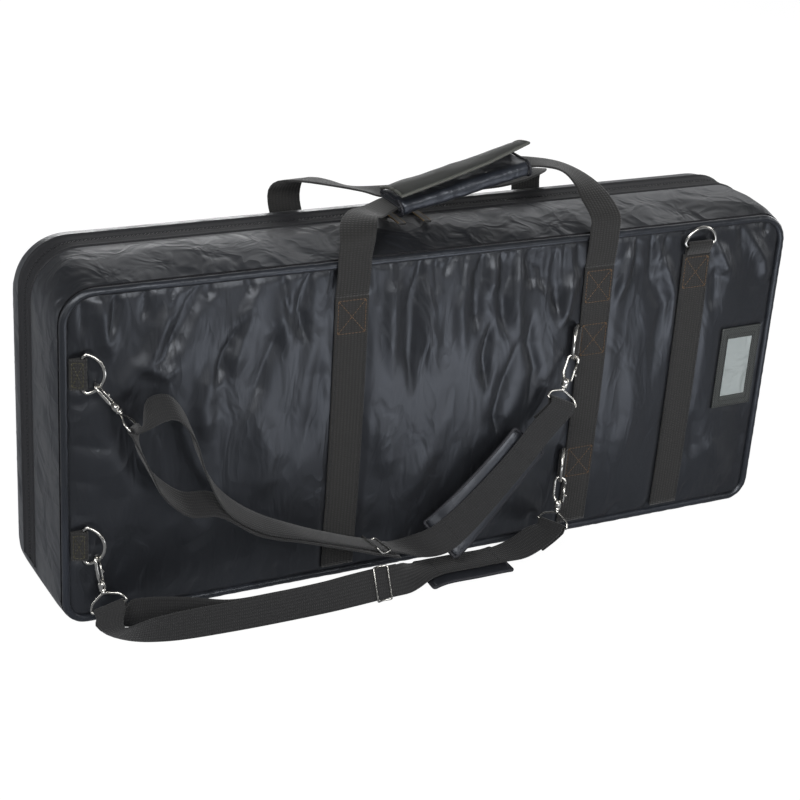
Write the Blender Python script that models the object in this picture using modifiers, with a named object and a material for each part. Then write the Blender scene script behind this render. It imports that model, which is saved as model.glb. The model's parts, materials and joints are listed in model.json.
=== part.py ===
"""Soft padded carry case: two zipped nylon shells, webbing straps, handle and shoulder straps.

Frame: +X along the case's length, -Y towards the front panel with the straps and the card
window, +Z up.  The origin is the middle of the face the case stands on.  Metres throughout.
"""
import bpy
import bmesh
from math import atan2, cos, pi, radians, sin, sqrt
from mathutils import Matrix, Vector

# ---------------------------------------------------------------- driving dimensions
LENGTH = 0.912            # front panel over its piping, along X
HEIGHT = 0.387            # front panel over its piping, along Z
FRONT_Y = -0.083          # edge plane of the front panel
BACK_Y = 0.083            # edge plane of the back panel
PANEL_CROWN = 0.006       # how far a padded panel swells out at its middle
TOP_RISE = 0.013          # how far the gussets swell up at the zip
END_BULGE = 0.005         # how far the gussets swell out at the ends
FRONT_RADIUS = 0.038      # corner radius of the front panel
ZIP_RADIUS = 0.054        # corner radius along the zip
BACK_RADIUS = 0.056       # corner radius of the back panel
BASE_RADIUS = 0.028       # lower corner radius of both shells

PIPING_R = 0.0045         # bead sewn round each panel
SKIN = 0.0015             # coated nylon with its seam allowance
PADDING = 0.009           # foam sheet
LINING = 0.0012           # lining cloth
PLY_GAP = 0.0005          # air between neighbouring layers
SEAT = 0.0003             # air where one piece rests on another

ZIP_START = 0.0005        # front edge of the zip band on the front shell
ZIP_MID = 0.0222          # where the two tapes meet
ZIP_END = 0.0440          # rear edge of the zip band
ZIP_GAP = 0.0010          # between the two tapes
TAPE = 0.0014             # thickness of a zip tape with its cover cord

WEB_W = 0.040             # handle webbing width
WEB_T = 0.0022            # handle webbing thickness
LEG_X = (-0.130, 0.188)   # centre lines of the two strap runs that carry the handle loops
END_STRAP_IN = 0.130      # the third run's centre line, in from its end of the case
STRAP_FOOT = 0.0135       # lower end of each sewn run
BOX_TOP = 0.346           # top of the box stitch, where the handle loops come free

RING_WIRE = 0.0020        # radius of the D-ring wire
RING_R = 0.0220           # radius of a D-ring's bow
TAB_W = 0.034             # webbing width of a ring tab
TAB_HOLE = 0.0025         # radius of the fold that holds a ring's bar
TAB_WALL = 0.0020         # webbing thickness round the fold

HOOK_WIRE = 0.0019        # radius of a snap hook's bow
HOOK_BOW = 0.0062         # bow radius to the wire's middle
HOOK_REACH = 0.0300       # barrel middle to bow centre
BARREL_R = 0.0045
BARREL_H = 0.0070
STEM_R = 0.0018
EYE_WIRE = 0.0015
GATE_R = 0.0012

STRAP_W = 0.036           # shoulder webbing width
STRAP_T = 0.0020          # shoulder webbing thickness
PAD_W = 0.056             # shoulder pad width
PAD_T = 0.010             # shoulder pad thickness

GRIP_W = 0.051            # grip wrap across
GRIP_H = 0.017            # grip wrap through
GRIP_T = 0.0062           # padded wall of the wrap
FLAP_T = 0.0040           # grip flap thickness

CARD_W, CARD_H = 0.059, 0.107      # card pocket outside
PANE_W, PANE_H = 0.038, 0.078      # its clear pane
CARD_IN, CARD_Z = 0.0455, 0.1905   # its middle, in from the right end and up
FRAME_T = 0.0022

SLIDER_X = (-0.045, -0.013)        # the two zip sliders, side by side at rest
SLIDER = (0.014, 0.012, 0.0055)    # length, width and height of a slider body
PULL = (0.009, 0.046, 0.0022)      # width, length and thickness of a pull tab

CORNER_STEPS = 5
LONG_STEPS = 5
SHORT_STEPS = 2

# ---------------------------------------------------------------- derived values
HALF_L = LENGTH / 2
STRAP_X = (*LEG_X, HALF_L - END_STRAP_IN)         # the three strap runs on the front
BACK_STRAP_X = (*LEG_X, -HALF_L + END_STRAP_IN)   # and on the back
CARD_X = HALF_L - CARD_IN
MID_Z = HEIGHT / 2
X_AXIS = Vector((1, 0, 0))
Y_AXIS = Vector((0, 1, 0))
Z_AXIS = Vector((0, 0, 1))


# ---------------------------------------------------------------- scene and helpers
def clear_scene():
    for obj in list(bpy.data.objects):
        bpy.data.objects.remove(obj, do_unlink=True)


def new_collection(name):
    coll = bpy.data.collections.new(name)
    bpy.context.scene.collection.children.link(coll)
    return coll


clear_scene()
CASE = new_collection("carry_case")


def material(name, colour, roughness, metallic=0.0):
    mat = bpy.data.materials.new(name)
    mat.use_nodes = True
    shader = mat.node_tree.nodes["Principled BSDF"]
    shader.inputs["Base Color"].default_value = (*colour, 1.0)
    shader.inputs["Roughness"].default_value = roughness
    shader.inputs["Metallic"].default_value = metallic
    return mat


NYLON = material("coated_nylon", (0.022, 0.025, 0.032), 0.38)
WEBBING = material("webbing", (0.018, 0.016, 0.015), 0.85)
PIPING = material("piping", (0.016, 0.018, 0.022), 0.5)
FOAM = material("padding_foam", (0.10, 0.10, 0.11), 0.95)
CLOTH = material("lining_cloth", (0.03, 0.03, 0.035), 0.8)
ZIP = material("zip_tape", (0.02, 0.02, 0.022), 0.7)
STEEL = material("nickel_plate", (0.72, 0.72, 0.70), 0.22, 1.0)
VINYL = material("clear_vinyl", (0.62, 0.66, 0.66), 0.2)
EDGE = material("pocket_edge", (0.05, 0.05, 0.052), 0.6)


def add_object(name, mesh, mat, smooth=True):
    """Link a mesh as a named part with its own copy of the material."""
    obj = bpy.data.objects.new(name, mesh)
    own = mat.copy()
    own.name = name + "_" + mat.name.split(".")[0]
    obj.data.materials.clear()
    obj.data.materials.append(own)
    CASE.objects.link(obj)
    if smooth:
        obj.data.shade_smooth()
        obj.data.set_sharp_from_angle(angle=radians(35))
    return obj


def surface(name, rows, closed, capped=False):
    """Mesh through rows of points, rings or open strips, facing away from the case's middle."""
    bm = bmesh.new()
    grid = [[bm.verts.new(point) for point in row] for row in rows]
    count = len(rows[0])
    spans = count if closed else count - 1
    for lower, upper in zip(grid, grid[1:]):
        for i in range(spans):
            j = (i + 1) % count
            bm.faces.new((lower[i], lower[j], upper[j], upper[i]))
    if capped:
        bm.faces.new(grid[-1])
    bmesh.ops.recalc_face_normals(bm, faces=bm.faces)
    middle = Vector((0, 0, MID_Z))
    outward = sum(face.normal.dot(face.calc_center_median() - middle) * face.calc_area() for face in bm.faces)
    if outward < 0:
        bmesh.ops.reverse_faces(bm, faces=bm.faces)
    mesh = bpy.data.meshes.new(name)
    bm.to_mesh(mesh)
    bm.free()
    return mesh


def place(obj, matrix):
    obj.matrix_world = matrix
    return obj


def move_origin(obj, point):
    """Put the object's origin at a point without moving its shape."""
    obj.data.transform(Matrix.Translation(-point))
    obj.location = point
    return obj


def axis_empty(name, point):
    """Empty on a joint axis, for the pieces that turn together."""
    empty = bpy.data.objects.new(name, None)
    empty.empty_display_size = 0.03
    empty.location = point
    CASE.objects.link(empty)
    return empty


def hang(parent, *children):
    bpy.context.view_layer.update()
    for child in children:
        child.parent = parent
        child.matrix_parent_inverse = parent.matrix_world.inverted()


def solidify(obj, thickness, offset=-1.0):
    mod = obj.modifiers.new("thickness", "SOLIDIFY")
    mod.thickness = thickness
    mod.offset = offset
    mod.use_even_offset = True
    return obj


def loft(name, sections, mat, cyclic=False):
    """Closed solid through equal sections; the first and last are capped unless cyclic.

    A section's first half runs along one side and its second half back along the other, and both
    sides are split along the same diagonals, so a thin twisted sheet keeps its thickness.
    """
    bm = bmesh.new()
    grid = [[bm.verts.new(point) for point in section] for section in sections]
    count = len(sections[0])
    pairs = list(zip(grid, grid[1:]))
    if cyclic:
        pairs.append((grid[-1], grid[0]))
    for lower, upper in pairs:
        for i in range(count):
            j = (i + 1) % count
            first, second = (i, j) if i < count // 2 else (j, i)
            bm.faces.new((lower[i], lower[j], upper[second]))
            bm.faces.new((lower[first], upper[j], upper[i]))
    if not cyclic:
        bm.faces.new(list(reversed(grid[0])))
        bm.faces.new(grid[-1])
    bmesh.ops.recalc_face_normals(bm, faces=bm.faces)
    mesh = bpy.data.meshes.new(name)
    bm.to_mesh(mesh)
    bm.free()
    return add_object(name, mesh, mat)


# ---------------------------------------------------------------- the case's outline
def blend(table, y):
    """Linear value at y from a table of (y, value) pairs."""
    if y <= table[0][0]:
        return table[0][1]
    for (y0, v0), (y1, v1) in zip(table, table[1:]):
        if y <= y1:
            return v0 + (v1 - v0) * (y - y0) / (y1 - y0)
    return table[-1][1]


RISE_AT = [(FRONT_Y, 0.0), (-0.060, 0.55 * TOP_RISE), (-0.030, 0.9 * TOP_RISE), (ZIP_START, TOP_RISE),
           (ZIP_END, TOP_RISE), (0.062, 0.75 * TOP_RISE), (BACK_Y, -0.003)]
BULGE_AT = [(FRONT_Y, 0.0), (-0.060, 0.4 * END_BULGE), (ZIP_START, 0.8 * END_BULGE),
            (ZIP_END, END_BULGE), (0.062, 0.9 * END_BULGE), (BACK_Y, 0.0)]
RADIUS_AT = [(FRONT_Y, FRONT_RADIUS), (-0.030, 0.046), (ZIP_START, ZIP_RADIUS), (BACK_Y, BACK_RADIUS)]


def quarter(cx, cz, radius, start, steps):
    """Quarter turn clockwise seen from the front, without its last point."""
    return [(cx + radius * cos(start - pi / 2 * i / steps), cz + radius * sin(start - pi / 2 * i / steps))
            for i in range(steps)]


def run(a, b, steps):
    """Points on the straight from a, without b."""
    return [(a[0] + (b[0] - a[0]) * i / steps, a[1] + (b[1] - a[1]) * i / steps) for i in range(steps)]


def outline(y, inset=0.0):
    """Rounded outline of the case at depth y, from the lower left corner up and clockwise."""
    half = HALF_L + blend(BULGE_AT, y) - inset
    top = HEIGHT + blend(RISE_AT, y) - inset
    foot = inset
    upper = max(blend(RADIUS_AT, y) - inset, 0.004)
    lower = max(BASE_RADIUS - inset, 0.004)
    points = run((-half, foot + lower), (-half, top - upper), SHORT_STEPS)
    points += quarter(-half + upper, top - upper, upper, pi, CORNER_STEPS)
    points += run((-half + upper, top), (half - upper, top), LONG_STEPS)
    points += quarter(half - upper, top - upper, upper, pi / 2, CORNER_STEPS)
    points += run((half, top - upper), (half, foot + lower), SHORT_STEPS)
    points += quarter(half - lower, foot + lower, lower, 0.0, CORNER_STEPS)
    points += run((half - lower, foot), (-half + lower, foot), LONG_STEPS)
    points += quarter(-half + lower, foot + lower, lower, -pi / 2, CORNER_STEPS)
    return points


def ring_at(y, inset=0.0):
    return [Vector((x, y, z)) for x, z in outline(y, inset)]


UPRIGHT = 2 * SHORT_STEPS + 2 * CORNER_STEPS + LONG_STEPS   # last point before the lower right corner


def arch_at(y, inset=0.0):
    """The outline above the lower corners: up one end, over the top and down the other end."""
    arch = ring_at(y, inset)[:UPRIGHT + 1]
    arch[0].z += SEAT
    arch[-1].z += SEAT
    return arch


def cradle_at(y, inset=0.0):
    """The rest of the outline: round one lower corner, along the bottom and round the other."""
    points = ring_at(y, inset)
    cradle = points[UPRIGHT:] + points[:1]
    cradle[0].z -= SEAT
    cradle[-1].z -= SEAT
    return cradle


def crown(x, z):
    """Swell of a padded panel at (x, z), nothing at its edges."""
    u = min(abs(x) / HALF_L, 1.0)
    v = min(abs(z - MID_Z) / MID_Z, 1.0)
    return PANEL_CROWN * (1 - u * u) * (1 - v * v)


# ---------------------------------------------------------------- the two shells
BEAD = PIPING_R + SEAT                    # inset of the bead's middle
PANEL_EDGE = 2 * BEAD - SEAT              # the panels reach the bead's inner side
HEM = sqrt(BEAD ** 2 - (BEAD - SKIN) ** 2)    # the gusset's hem ends this far behind the bead's middle
PANEL_SHRINK = (1.0, 0.84, 0.62, 0.38, 0.14)
TRAY_SHRINK = (1.0, 0.5)
UNDER_SKIN = SKIN + PLY_GAP
UNDER_PADDING = UNDER_SKIN + PADDING + PLY_GAP
SLOPE_ROOM = 0.0017                       # the linings' walls stand off the padding where it slopes
LID_ROOM = 0.0012                         # the lid's walls swing clear of the base gusset's ends
TRAY_MOUTH = 0.0010                       # each tray stops this far from the middle of the zip
TRAY_CHAMFER = 0.0045                     # the padding is cut back this far behind the bead
TRAY_EDGE = PANEL_EDGE + 0.0032           # and this far inside it


def panel_rows(edge_y, side, inset, shrink, depth=0.0):
    """Rings from a panel's edge to its middle on the crowned face; side is -1 in front, +1 behind."""
    edge = outline(edge_y, inset)
    rows = []
    for scale in shrink:
        spots = [(x * scale, MID_Z + (z - MID_Z) * scale) for x, z in edge]
        rows.append([Vector((x, edge_y + side * (crown(x, z) - depth), z)) for x, z in spots])
    return rows


def make_panel(name, edge_y, side):
    rows = panel_rows(edge_y, side, PANEL_EDGE, PANEL_SHRINK)
    obj = add_object(name, surface(name, rows, closed=True, capped=True), NYLON)
    return solidify(obj, SKIN)


def mesh_from_curve(name, data):
    """Closed mesh of a bevelled or extruded curve, its caps welded."""
    holder = bpy.data.objects.new(name + "_curve", data)
    CASE.objects.link(holder)
    depsgraph = bpy.context.evaluated_depsgraph_get()
    mesh = bpy.data.meshes.new_from_object(holder.evaluated_get(depsgraph))
    bm = bmesh.new()
    bm.from_mesh(mesh)
    bmesh.ops.remove_doubles(bm, verts=bm.verts, dist=1e-5)
    bmesh.ops.recalc_face_normals(bm, faces=bm.faces)
    bm.to_mesh(mesh)
    bm.free()
    bpy.data.objects.remove(holder, do_unlink=True)
    bpy.data.curves.remove(data)
    mesh.name = name
    return mesh


def wire_curve(name, points, radius, closed=False, bevel=2, swell=None):
    """Round wire through the points; swell gives a factor on the radius at each point."""
    data = bpy.data.curves.new(name, "CURVE")
    data.dimensions = "3D"
    data.bevel_depth = radius
    data.bevel_resolution = bevel
    data.resolution_u = 1
    data.render_resolution_u = 0
    data.use_fill_caps = not closed
    spline = data.splines.new("POLY")
    spline.points.add(len(points) - 1)
    for i, (slot, point) in enumerate(zip(spline.points, points)):
        slot.co = (*point, 1.0)
        slot.radius = swell[i] if swell else 1.0
    spline.use_cyclic_u = closed
    return data


def flat_curve(name, outlines, half_depth):
    """Flat sheet with the first outline outside and the others cut out, thickened along its own Z."""
    data = bpy.data.curves.new(name, "CURVE")
    data.dimensions = "2D"
    data.fill_mode = "BOTH"
    data.extrude = half_depth
    data.resolution_u = 1
    data.render_resolution_u = 0
    for points in outlines:
        spline = data.splines.new("POLY")
        spline.points.add(len(points) - 1)
        for slot, (x, y) in zip(spline.points, points):
            slot.co = (x, y, 0.0, 1.0)
        spline.use_cyclic_u = True
    return data


def frame_matrix(origin, x_axis, y_axis):
    """Matrix of a frame at origin; the Y axis is squared up to the X axis."""
    x = Vector(x_axis).normalized()
    z = x.cross(Vector(y_axis)).normalized()
    y = z.cross(x)
    matrix = Matrix((x, y, z)).transposed().to_4x4()
    matrix.translation = Vector(origin)
    return matrix


def make_piping(name, edge_y):
    """Bead round a panel: a closed round cord on the outline."""
    return add_object(name, mesh_from_curve(name, wire_curve(name, ring_at(edge_y, BEAD), PIPING_R, closed=True,
                                                             bevel=1)), PIPING)


def make_band(name, rows, closed, thickness, mat):
    obj = add_object(name, surface(name, rows, closed=closed), mat)
    return solidify(obj, thickness)


def make_tray(name, mouth_y, walls, edge_y, side, inset, room, thickness, mat):
    """Padding or lining: the walls, which stand off by room, from the mouth to the bead, then the panel."""
    deeper = inset + room - UNDER_SKIN
    hem_y = edge_y - side * (PIPING_R + TRAY_CHAMFER + 0.75 * deeper)
    rows = [ring_at(y, inset + room) for y in (mouth_y, *walls, hem_y)]
    rows += panel_rows(edge_y, side, TRAY_EDGE + 0.45 * deeper, TRAY_SHRINK, depth=inset + 0.3 * room)
    obj = add_object(name, surface(name, rows, closed=True, capped=True), mat)
    return solidify(obj, thickness)


FRONT_WALLS = (ZIP_START, -0.030, -0.060)     # stations where the gussets' curve is given
LID_WALLS = (ZIP_END, 0.062)

# Front shell: it carries the handle and the shoulder straps, and stands on the floor.
make_panel("front_panel", FRONT_Y, -1)
make_piping("front_piping", FRONT_Y)
make_band("front_gusset", [arch_at(y) for y in (ZIP_START - SEAT, *FRONT_WALLS[1:], FRONT_Y + HEM)], False,
          SKIN, NYLON)
make_tray("front_padding", ZIP_MID - TRAY_MOUTH, FRONT_WALLS, FRONT_Y, -1, UNDER_SKIN, 0.0, PADDING, FOAM)
make_tray("front_lining", ZIP_MID - TRAY_MOUTH, FRONT_WALLS, FRONT_Y, -1, UNDER_PADDING, SLOPE_ROOM, LINING, CLOTH)
BASE_ROWS = (FRONT_Y + HEM, *reversed(FRONT_WALLS), *LID_WALLS, BACK_Y - HEM)
make_band("base_gusset", [cradle_at(y) for y in reversed(BASE_ROWS)], False, SKIN, NYLON)

# Back shell: the lid, hinged on its lower bead.
make_panel("back_panel", BACK_Y, 1)
make_piping("back_piping", BACK_Y)
make_band("lid_gusset", [arch_at(y) for y in (ZIP_END + SEAT, LID_WALLS[1], BACK_Y - HEM)], False, SKIN, NYLON)
make_tray("lid_padding", ZIP_MID + TRAY_MOUTH, LID_WALLS, BACK_Y, 1, UNDER_SKIN, LID_ROOM, PADDING, FOAM)
make_tray("lid_lining", ZIP_MID + TRAY_MOUTH, LID_WALLS, BACK_Y, 1, UNDER_PADDING, SLOPE_ROOM + LID_ROOM, LINING,
          CLOTH)

# Zip: each tape has a raised cover cord along its sewn edge and lies flat at the coil.
CORD_RISE = 0.0012
COIL_DROP = 0.0002
ZIP_HALF = ZIP_GAP / 2
FRONT_TAPE = [(ZIP_START + SEAT, 0.0), (ZIP_START + 0.0035, -CORD_RISE), (ZIP_START + 0.0070, 0.0),
              (ZIP_START + 0.0090, COIL_DROP), (ZIP_MID - ZIP_HALF, COIL_DROP)]
LID_TAPE = [(ZIP_MID + ZIP_HALF, COIL_DROP), (ZIP_END - 0.0090, COIL_DROP), (ZIP_END - 0.0070, 0.0),
            (ZIP_END - 0.0035, -CORD_RISE), (ZIP_END, 0.0)]
make_band("front_zip_tape", [arch_at(y, inset) for y, inset in FRONT_TAPE], False, TAPE, ZIP)
make_band("lid_zip_tape", [arch_at(y, inset) for y, inset in LID_TAPE], False, TAPE, ZIP)


# ---------------------------------------------------------------- webbing sewn to the panels
WEB_SEAT = 0.0005         # air under sewn webbing


def panel_y(x, z, side):
    """Outer face of the front (side -1) or back (side +1) panel."""
    return side * (abs(FRONT_Y) + crown(x, z)) if side < 0 else BACK_Y + crown(x, z)


def make_strap_run(name, x, foot_z, top_z, side, steps=8):
    """Webbing sewn down a panel, lying on its crowned face."""
    sections = []
    for i in range(steps + 1):
        z = foot_z + (top_z - foot_z) * i / steps
        section = []
        for lift, edges in ((WEB_SEAT, (-0.5, 0.5)), (WEB_SEAT + WEB_T, (0.5, -0.5))):
            for edge in edges:
                px = x + edge * WEB_W
                section.append(Vector((px, panel_y(px, z, side) + side * lift, z)))
        sections.append(section)
    return loft(name, sections, WEBBING)


TAB_OUT = TAB_HOLE + TAB_WALL             # outside radius of a tab's fold
END_BAR_Z = 0.3605                        # height of the bar on the third runs
TAB_TAIL = 0.0120                         # sewn length of a tab beside its fold
RING_STRAIGHT = 0.87 * RING_R             # half length of a ring's bar

make_strap_run("strap_front_left", STRAP_X[0], STRAP_FOOT, BOX_TOP, -1)
make_strap_run("strap_front_middle", STRAP_X[1], STRAP_FOOT, BOX_TOP, -1)
make_strap_run("strap_front_end", STRAP_X[2], STRAP_FOOT, END_BAR_Z - TAB_TAIL - SEAT, -1)
make_strap_run("strap_back_left", BACK_STRAP_X[0], STRAP_FOOT, BOX_TOP, 1)
make_strap_run("strap_back_middle", BACK_STRAP_X[1], STRAP_FOOT, BOX_TOP, 1)
make_strap_run("strap_back_end", BACK_STRAP_X[2], STRAP_FOOT, END_BAR_Z - TAB_TAIL - SEAT, 1)


def tab_outline(tail):
    """Folded webbing seen along the ring's bar: a sewn tail and a round fold."""
    meet = pi + atan2(TAB_OUT - TAB_WALL, sqrt(TAB_OUT ** 2 - (TAB_OUT - TAB_WALL) ** 2))
    steps = 11
    fold = [(TAB_OUT * cos(a), TAB_OUT * sin(a))
            for a in (-pi / 2 + (meet + pi / 2) * i / steps for i in range(steps + 1))]
    hole = [(TAB_HOLE * cos(2 * pi * i / 10), TAB_HOLE * sin(2 * pi * i / 10)) for i in range(10)]
    return [[(-tail, -TAB_OUT)] + fold + [(-tail, fold[-1][1])], hole]


def make_tab(name, bar, towards_ring, outward, tail, width):
    data = flat_curve(name, tab_outline(tail), width / 2)
    tab = add_object(name, mesh_from_curve(name, data), WEBBING)
    return place(tab, frame_matrix(bar, towards_ring, outward))


def make_ring(name, bar, towards_ring, along_bar):
    """D-ring: a straight bar and a half-round bow of one wire, its origin on the bar."""
    steps = 10
    turn = radians(80)
    points = [(RING_R * cos(a), RING_R * sin(a), 0)
              for a in (-turn + 2 * turn * i / steps for i in range(steps + 1))]
    points += [(0, RING_STRAIGHT, 0), (0, -RING_STRAIGHT, 0)]
    ring = add_object(name, mesh_from_curve(name, wire_curve(name, points, RING_WIRE, closed=True, bevel=1)), STEEL)
    return place(ring, frame_matrix(bar, towards_ring, along_bar))


def bar_seat(x, z, side):
    """Where a ring's bar lies: a fold's radius off the panel."""
    return Vector((x, panel_y(x, z, side) + side * (WEB_SEAT + TAB_OUT), z))


def tilted(direction, outward, degrees):
    """A direction in the panel's plane, lifted off it."""
    return cos(radians(degrees)) * Vector(direction) + sin(radians(degrees)) * Vector(outward)


LEFT_BAR_X = -0.4325
MIDDLE_BAR_X = STRAP_X[1] - WEB_W / 2 - TAB_OUT - 2 * SEAT
OUT = -Y_AXIS
RINGS = {
    # name: bar, direction of the flat ring, lift off the panel in degrees, tab's sewn length
    "upper_left": (bar_seat(LEFT_BAR_X, 0.2965, -1), X_AXIS, 22, 0.0135),
    "lower_left": (bar_seat(LEFT_BAR_X, 0.0975, -1), X_AXIS, 30, 0.0135),
    "upper_middle": (bar_seat(MIDDLE_BAR_X, 0.2585, -1), -X_AXIS, 50, TAB_OUT),
    "lower_middle": (bar_seat(MIDDLE_BAR_X, 0.0990, -1), -X_AXIS, 55, TAB_OUT),
}
RING_OUT = {}
for where, (bar, flat, lift, tail) in RINGS.items():
    RING_OUT[where] = tilted(flat, OUT, lift)
    make_tab("tab_" + where, bar, flat, OUT, tail, TAB_W)
    make_ring("ring_" + where, bar, RING_OUT[where], Z_AXIS)

END_LEAN = 6              # degrees: the two upper rings lean on their panel's bead
FRONT_END_BAR = bar_seat(STRAP_X[2], END_BAR_Z, -1)
BACK_END_BAR = bar_seat(BACK_STRAP_X[2], END_BAR_Z, 1)
make_tab("tab_front_end", FRONT_END_BAR, Z_AXIS, OUT, TAB_TAIL, TAB_W)
make_ring("ring_front_end", FRONT_END_BAR, tilted(Z_AXIS, OUT, END_LEAN), X_AXIS)
make_tab("tab_back_end", BACK_END_BAR, Z_AXIS, Y_AXIS, TAB_TAIL, TAB_W)
make_ring("ring_back_end", BACK_END_BAR, tilted(Z_AXIS, Y_AXIS, END_LEAN), X_AXIS)


# ---------------------------------------------------------------- card pocket
def framed_spot(x, z, lift):
    return Vector((x, panel_y(x, z, -1) - lift, z))


def rectangle(half_w, half_h):
    """Corners and side middles of an upright rectangle round the card pocket's middle."""
    spots = ((-1, -1), (-1, 0), (-1, 1), (0, 1), (1, 1), (1, 0), (1, -1), (0, -1))
    return [(CARD_X + sx * half_w, CARD_Z + sz * half_h) for sx, sz in spots]


PANE_CLEAR = 0.0003
PANE_T = 0.0010
frame_sections = []
for (ox, oz), (ix, iz) in zip(rectangle(CARD_W / 2, CARD_H / 2), rectangle(PANE_W / 2, PANE_H / 2)):
    frame_sections.append([framed_spot(ox, oz, WEB_SEAT), framed_spot(ox, oz, WEB_SEAT + FRAME_T),
                           framed_spot(ix, iz, WEB_SEAT + FRAME_T), framed_spot(ix, iz, WEB_SEAT)])
loft("card_frame", frame_sections, EDGE, cyclic=True)
pane = rectangle(PANE_W / 2 - PANE_CLEAR, PANE_H / 2 - PANE_CLEAR)
loft("card_pane", [[framed_spot(x, z, lift) for x, z in pane] for lift in (WEB_SEAT, WEB_SEAT + PANE_T)], VINYL)


# ---------------------------------------------------------------- ribbons of webbing
def smooth(stations, steps):
    """Chord-length spline through (point, width direction) stations."""
    knots = [0.0]
    for (a, _), (b, _) in zip(stations, stations[1:]):
        knots.append(knots[-1] + max((b - a).length, 1e-6))

    def slope(k, part):
        lo, hi = max(k - 1, 0), min(k + 1, len(stations) - 1)
        return (stations[hi][part] - stations[lo][part]) / (knots[hi] - knots[lo])

    path = []
    for k in range(len(stations) - 1):
        span = knots[k + 1] - knots[k]
        count = max(1, round(span / steps))
        for i in range(count):
            t = i / count
            h = (2 * t ** 3 - 3 * t ** 2 + 1, t ** 3 - 2 * t ** 2 + t, -2 * t ** 3 + 3 * t ** 2, t ** 3 - t ** 2)
            values = []
            for part in (0, 1):
                values.append(h[0] * stations[k][part] + h[1] * span * slope(k, part)
                              + h[2] * stations[k + 1][part] + h[3] * span * slope(k + 1, part))
            path.append(tuple(values))
    path.append(stations[-1])
    return path


def frames(path):
    """(point, run, width, face) at each point; the face looks along run x width."""
    out = []
    for i, (point, wide) in enumerate(path):
        run = (path[min(i + 1, len(path) - 1)][0] - path[max(i - 1, 0)][0]).normalized()
        out.append((point, run, wide.normalized(), run.cross(wide).normalized()))
    return out


def ribbon(name, path, width, thick, mat=None):
    sections = []
    for point, _, across, face in frames(path):
        sections.append([point + sx * width / 2 * across + sn * thick / 2 * face
                         for sx, sn in ((-1, -1), (1, -1), (1, 1), (-1, 1))])
    return loft(name, sections, mat or WEBBING)


def station(x, y, z, wide):
    return Vector((x, y, z)), Vector(wide).normalized()


# ---------------------------------------------------------------- handle
LOOP_FOOT = BOX_TOP + SEAT                # each leg goes on from the top of its sewn run
LEG_Y = abs(FRONT_Y) + PIPING_R + 2 * SEAT + WEB_T / 2           # and passes over the bead
BEAD_FOOT = HEIGHT - 2 * BEAD - 0.003     # height where the legs are clear of the bead
LEFT_X, RIGHT_X = STRAP_X[0], STRAP_X[1]


def foot_y(x):
    """Middle of a sewn run's webbing at its top."""
    return abs(panel_y(x, BOX_TOP, -1)) + WEB_SEAT + WEB_T / 2


HANDLE_AXIS_Y = foot_y(LEFT_X) + WEB_T / 2     # the legs fold outwards over the runs' outer edge
GRIP_MID = Vector((0.030, -0.014, 0.438))
GRIP_TILT = radians(12)
GRIP_RUN = Vector((cos(GRIP_TILT), 0, sin(GRIP_TILT)))
GRIP_UP = Vector((-sin(GRIP_TILT), 0, cos(GRIP_TILT)))
GRIP_HALF = 0.0825
GRIP_WEB_Y = 0.0025       # the webbing lies this far behind the wrap's middle


def on_grip(along, across=0.0, up=0.0):
    return GRIP_MID + GRIP_RUN * along + Y_AXIS * across + GRIP_UP * up


front_loop = [
    station(LEFT_X, -foot_y(LEFT_X), LOOP_FOOT, (1, 0, 0)),
    station(LEFT_X, -LEG_Y, BEAD_FOOT, (1, 0, 0)),
    station(LEFT_X, -LEG_Y, 0.390, (1, 0, 0)),
    station(-0.128, -0.089, 0.409, (0.98, -0.10, 0)),
    station(-0.120, -0.072, 0.4215, (0.85, -0.50, 0.05)),
    station(-0.104, -0.050, 0.4245, (0.50, -0.85, 0.05)),
    station(-0.080, -0.029, 0.4195, (0.15, -0.98, 0)),
    (on_grip(-GRIP_HALF, GRIP_WEB_Y), -Y_AXIS),
    (on_grip(0, GRIP_WEB_Y), -Y_AXIS),
    (on_grip(GRIP_HALF, GRIP_WEB_Y), -Y_AXIS),
    station(0.143, -0.018, 0.4540, (-0.10, -1, 0)),
    station(0.166, -0.026, 0.4480, (-0.50, -0.87, 0)),
    station(0.182, -0.043, 0.4360, (-0.87, -0.50, 0)),
    station(RIGHT_X, -0.066, 0.4210, (-1, 0, 0)),
    station(RIGHT_X, -0.088, 0.4065, (-1, 0, 0)),
    station(RIGHT_X, -LEG_Y, 0.390, (-1, 0, 0)),
    station(RIGHT_X, -LEG_Y, BEAD_FOOT, (-1, 0, 0)),
    station(RIGHT_X, -foot_y(RIGHT_X), LOOP_FOOT, (-1, 0, 0)),
]
loop_front = ribbon("handle_loop_front", smooth(front_loop, 0.012), WEB_W, WEB_T)

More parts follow.
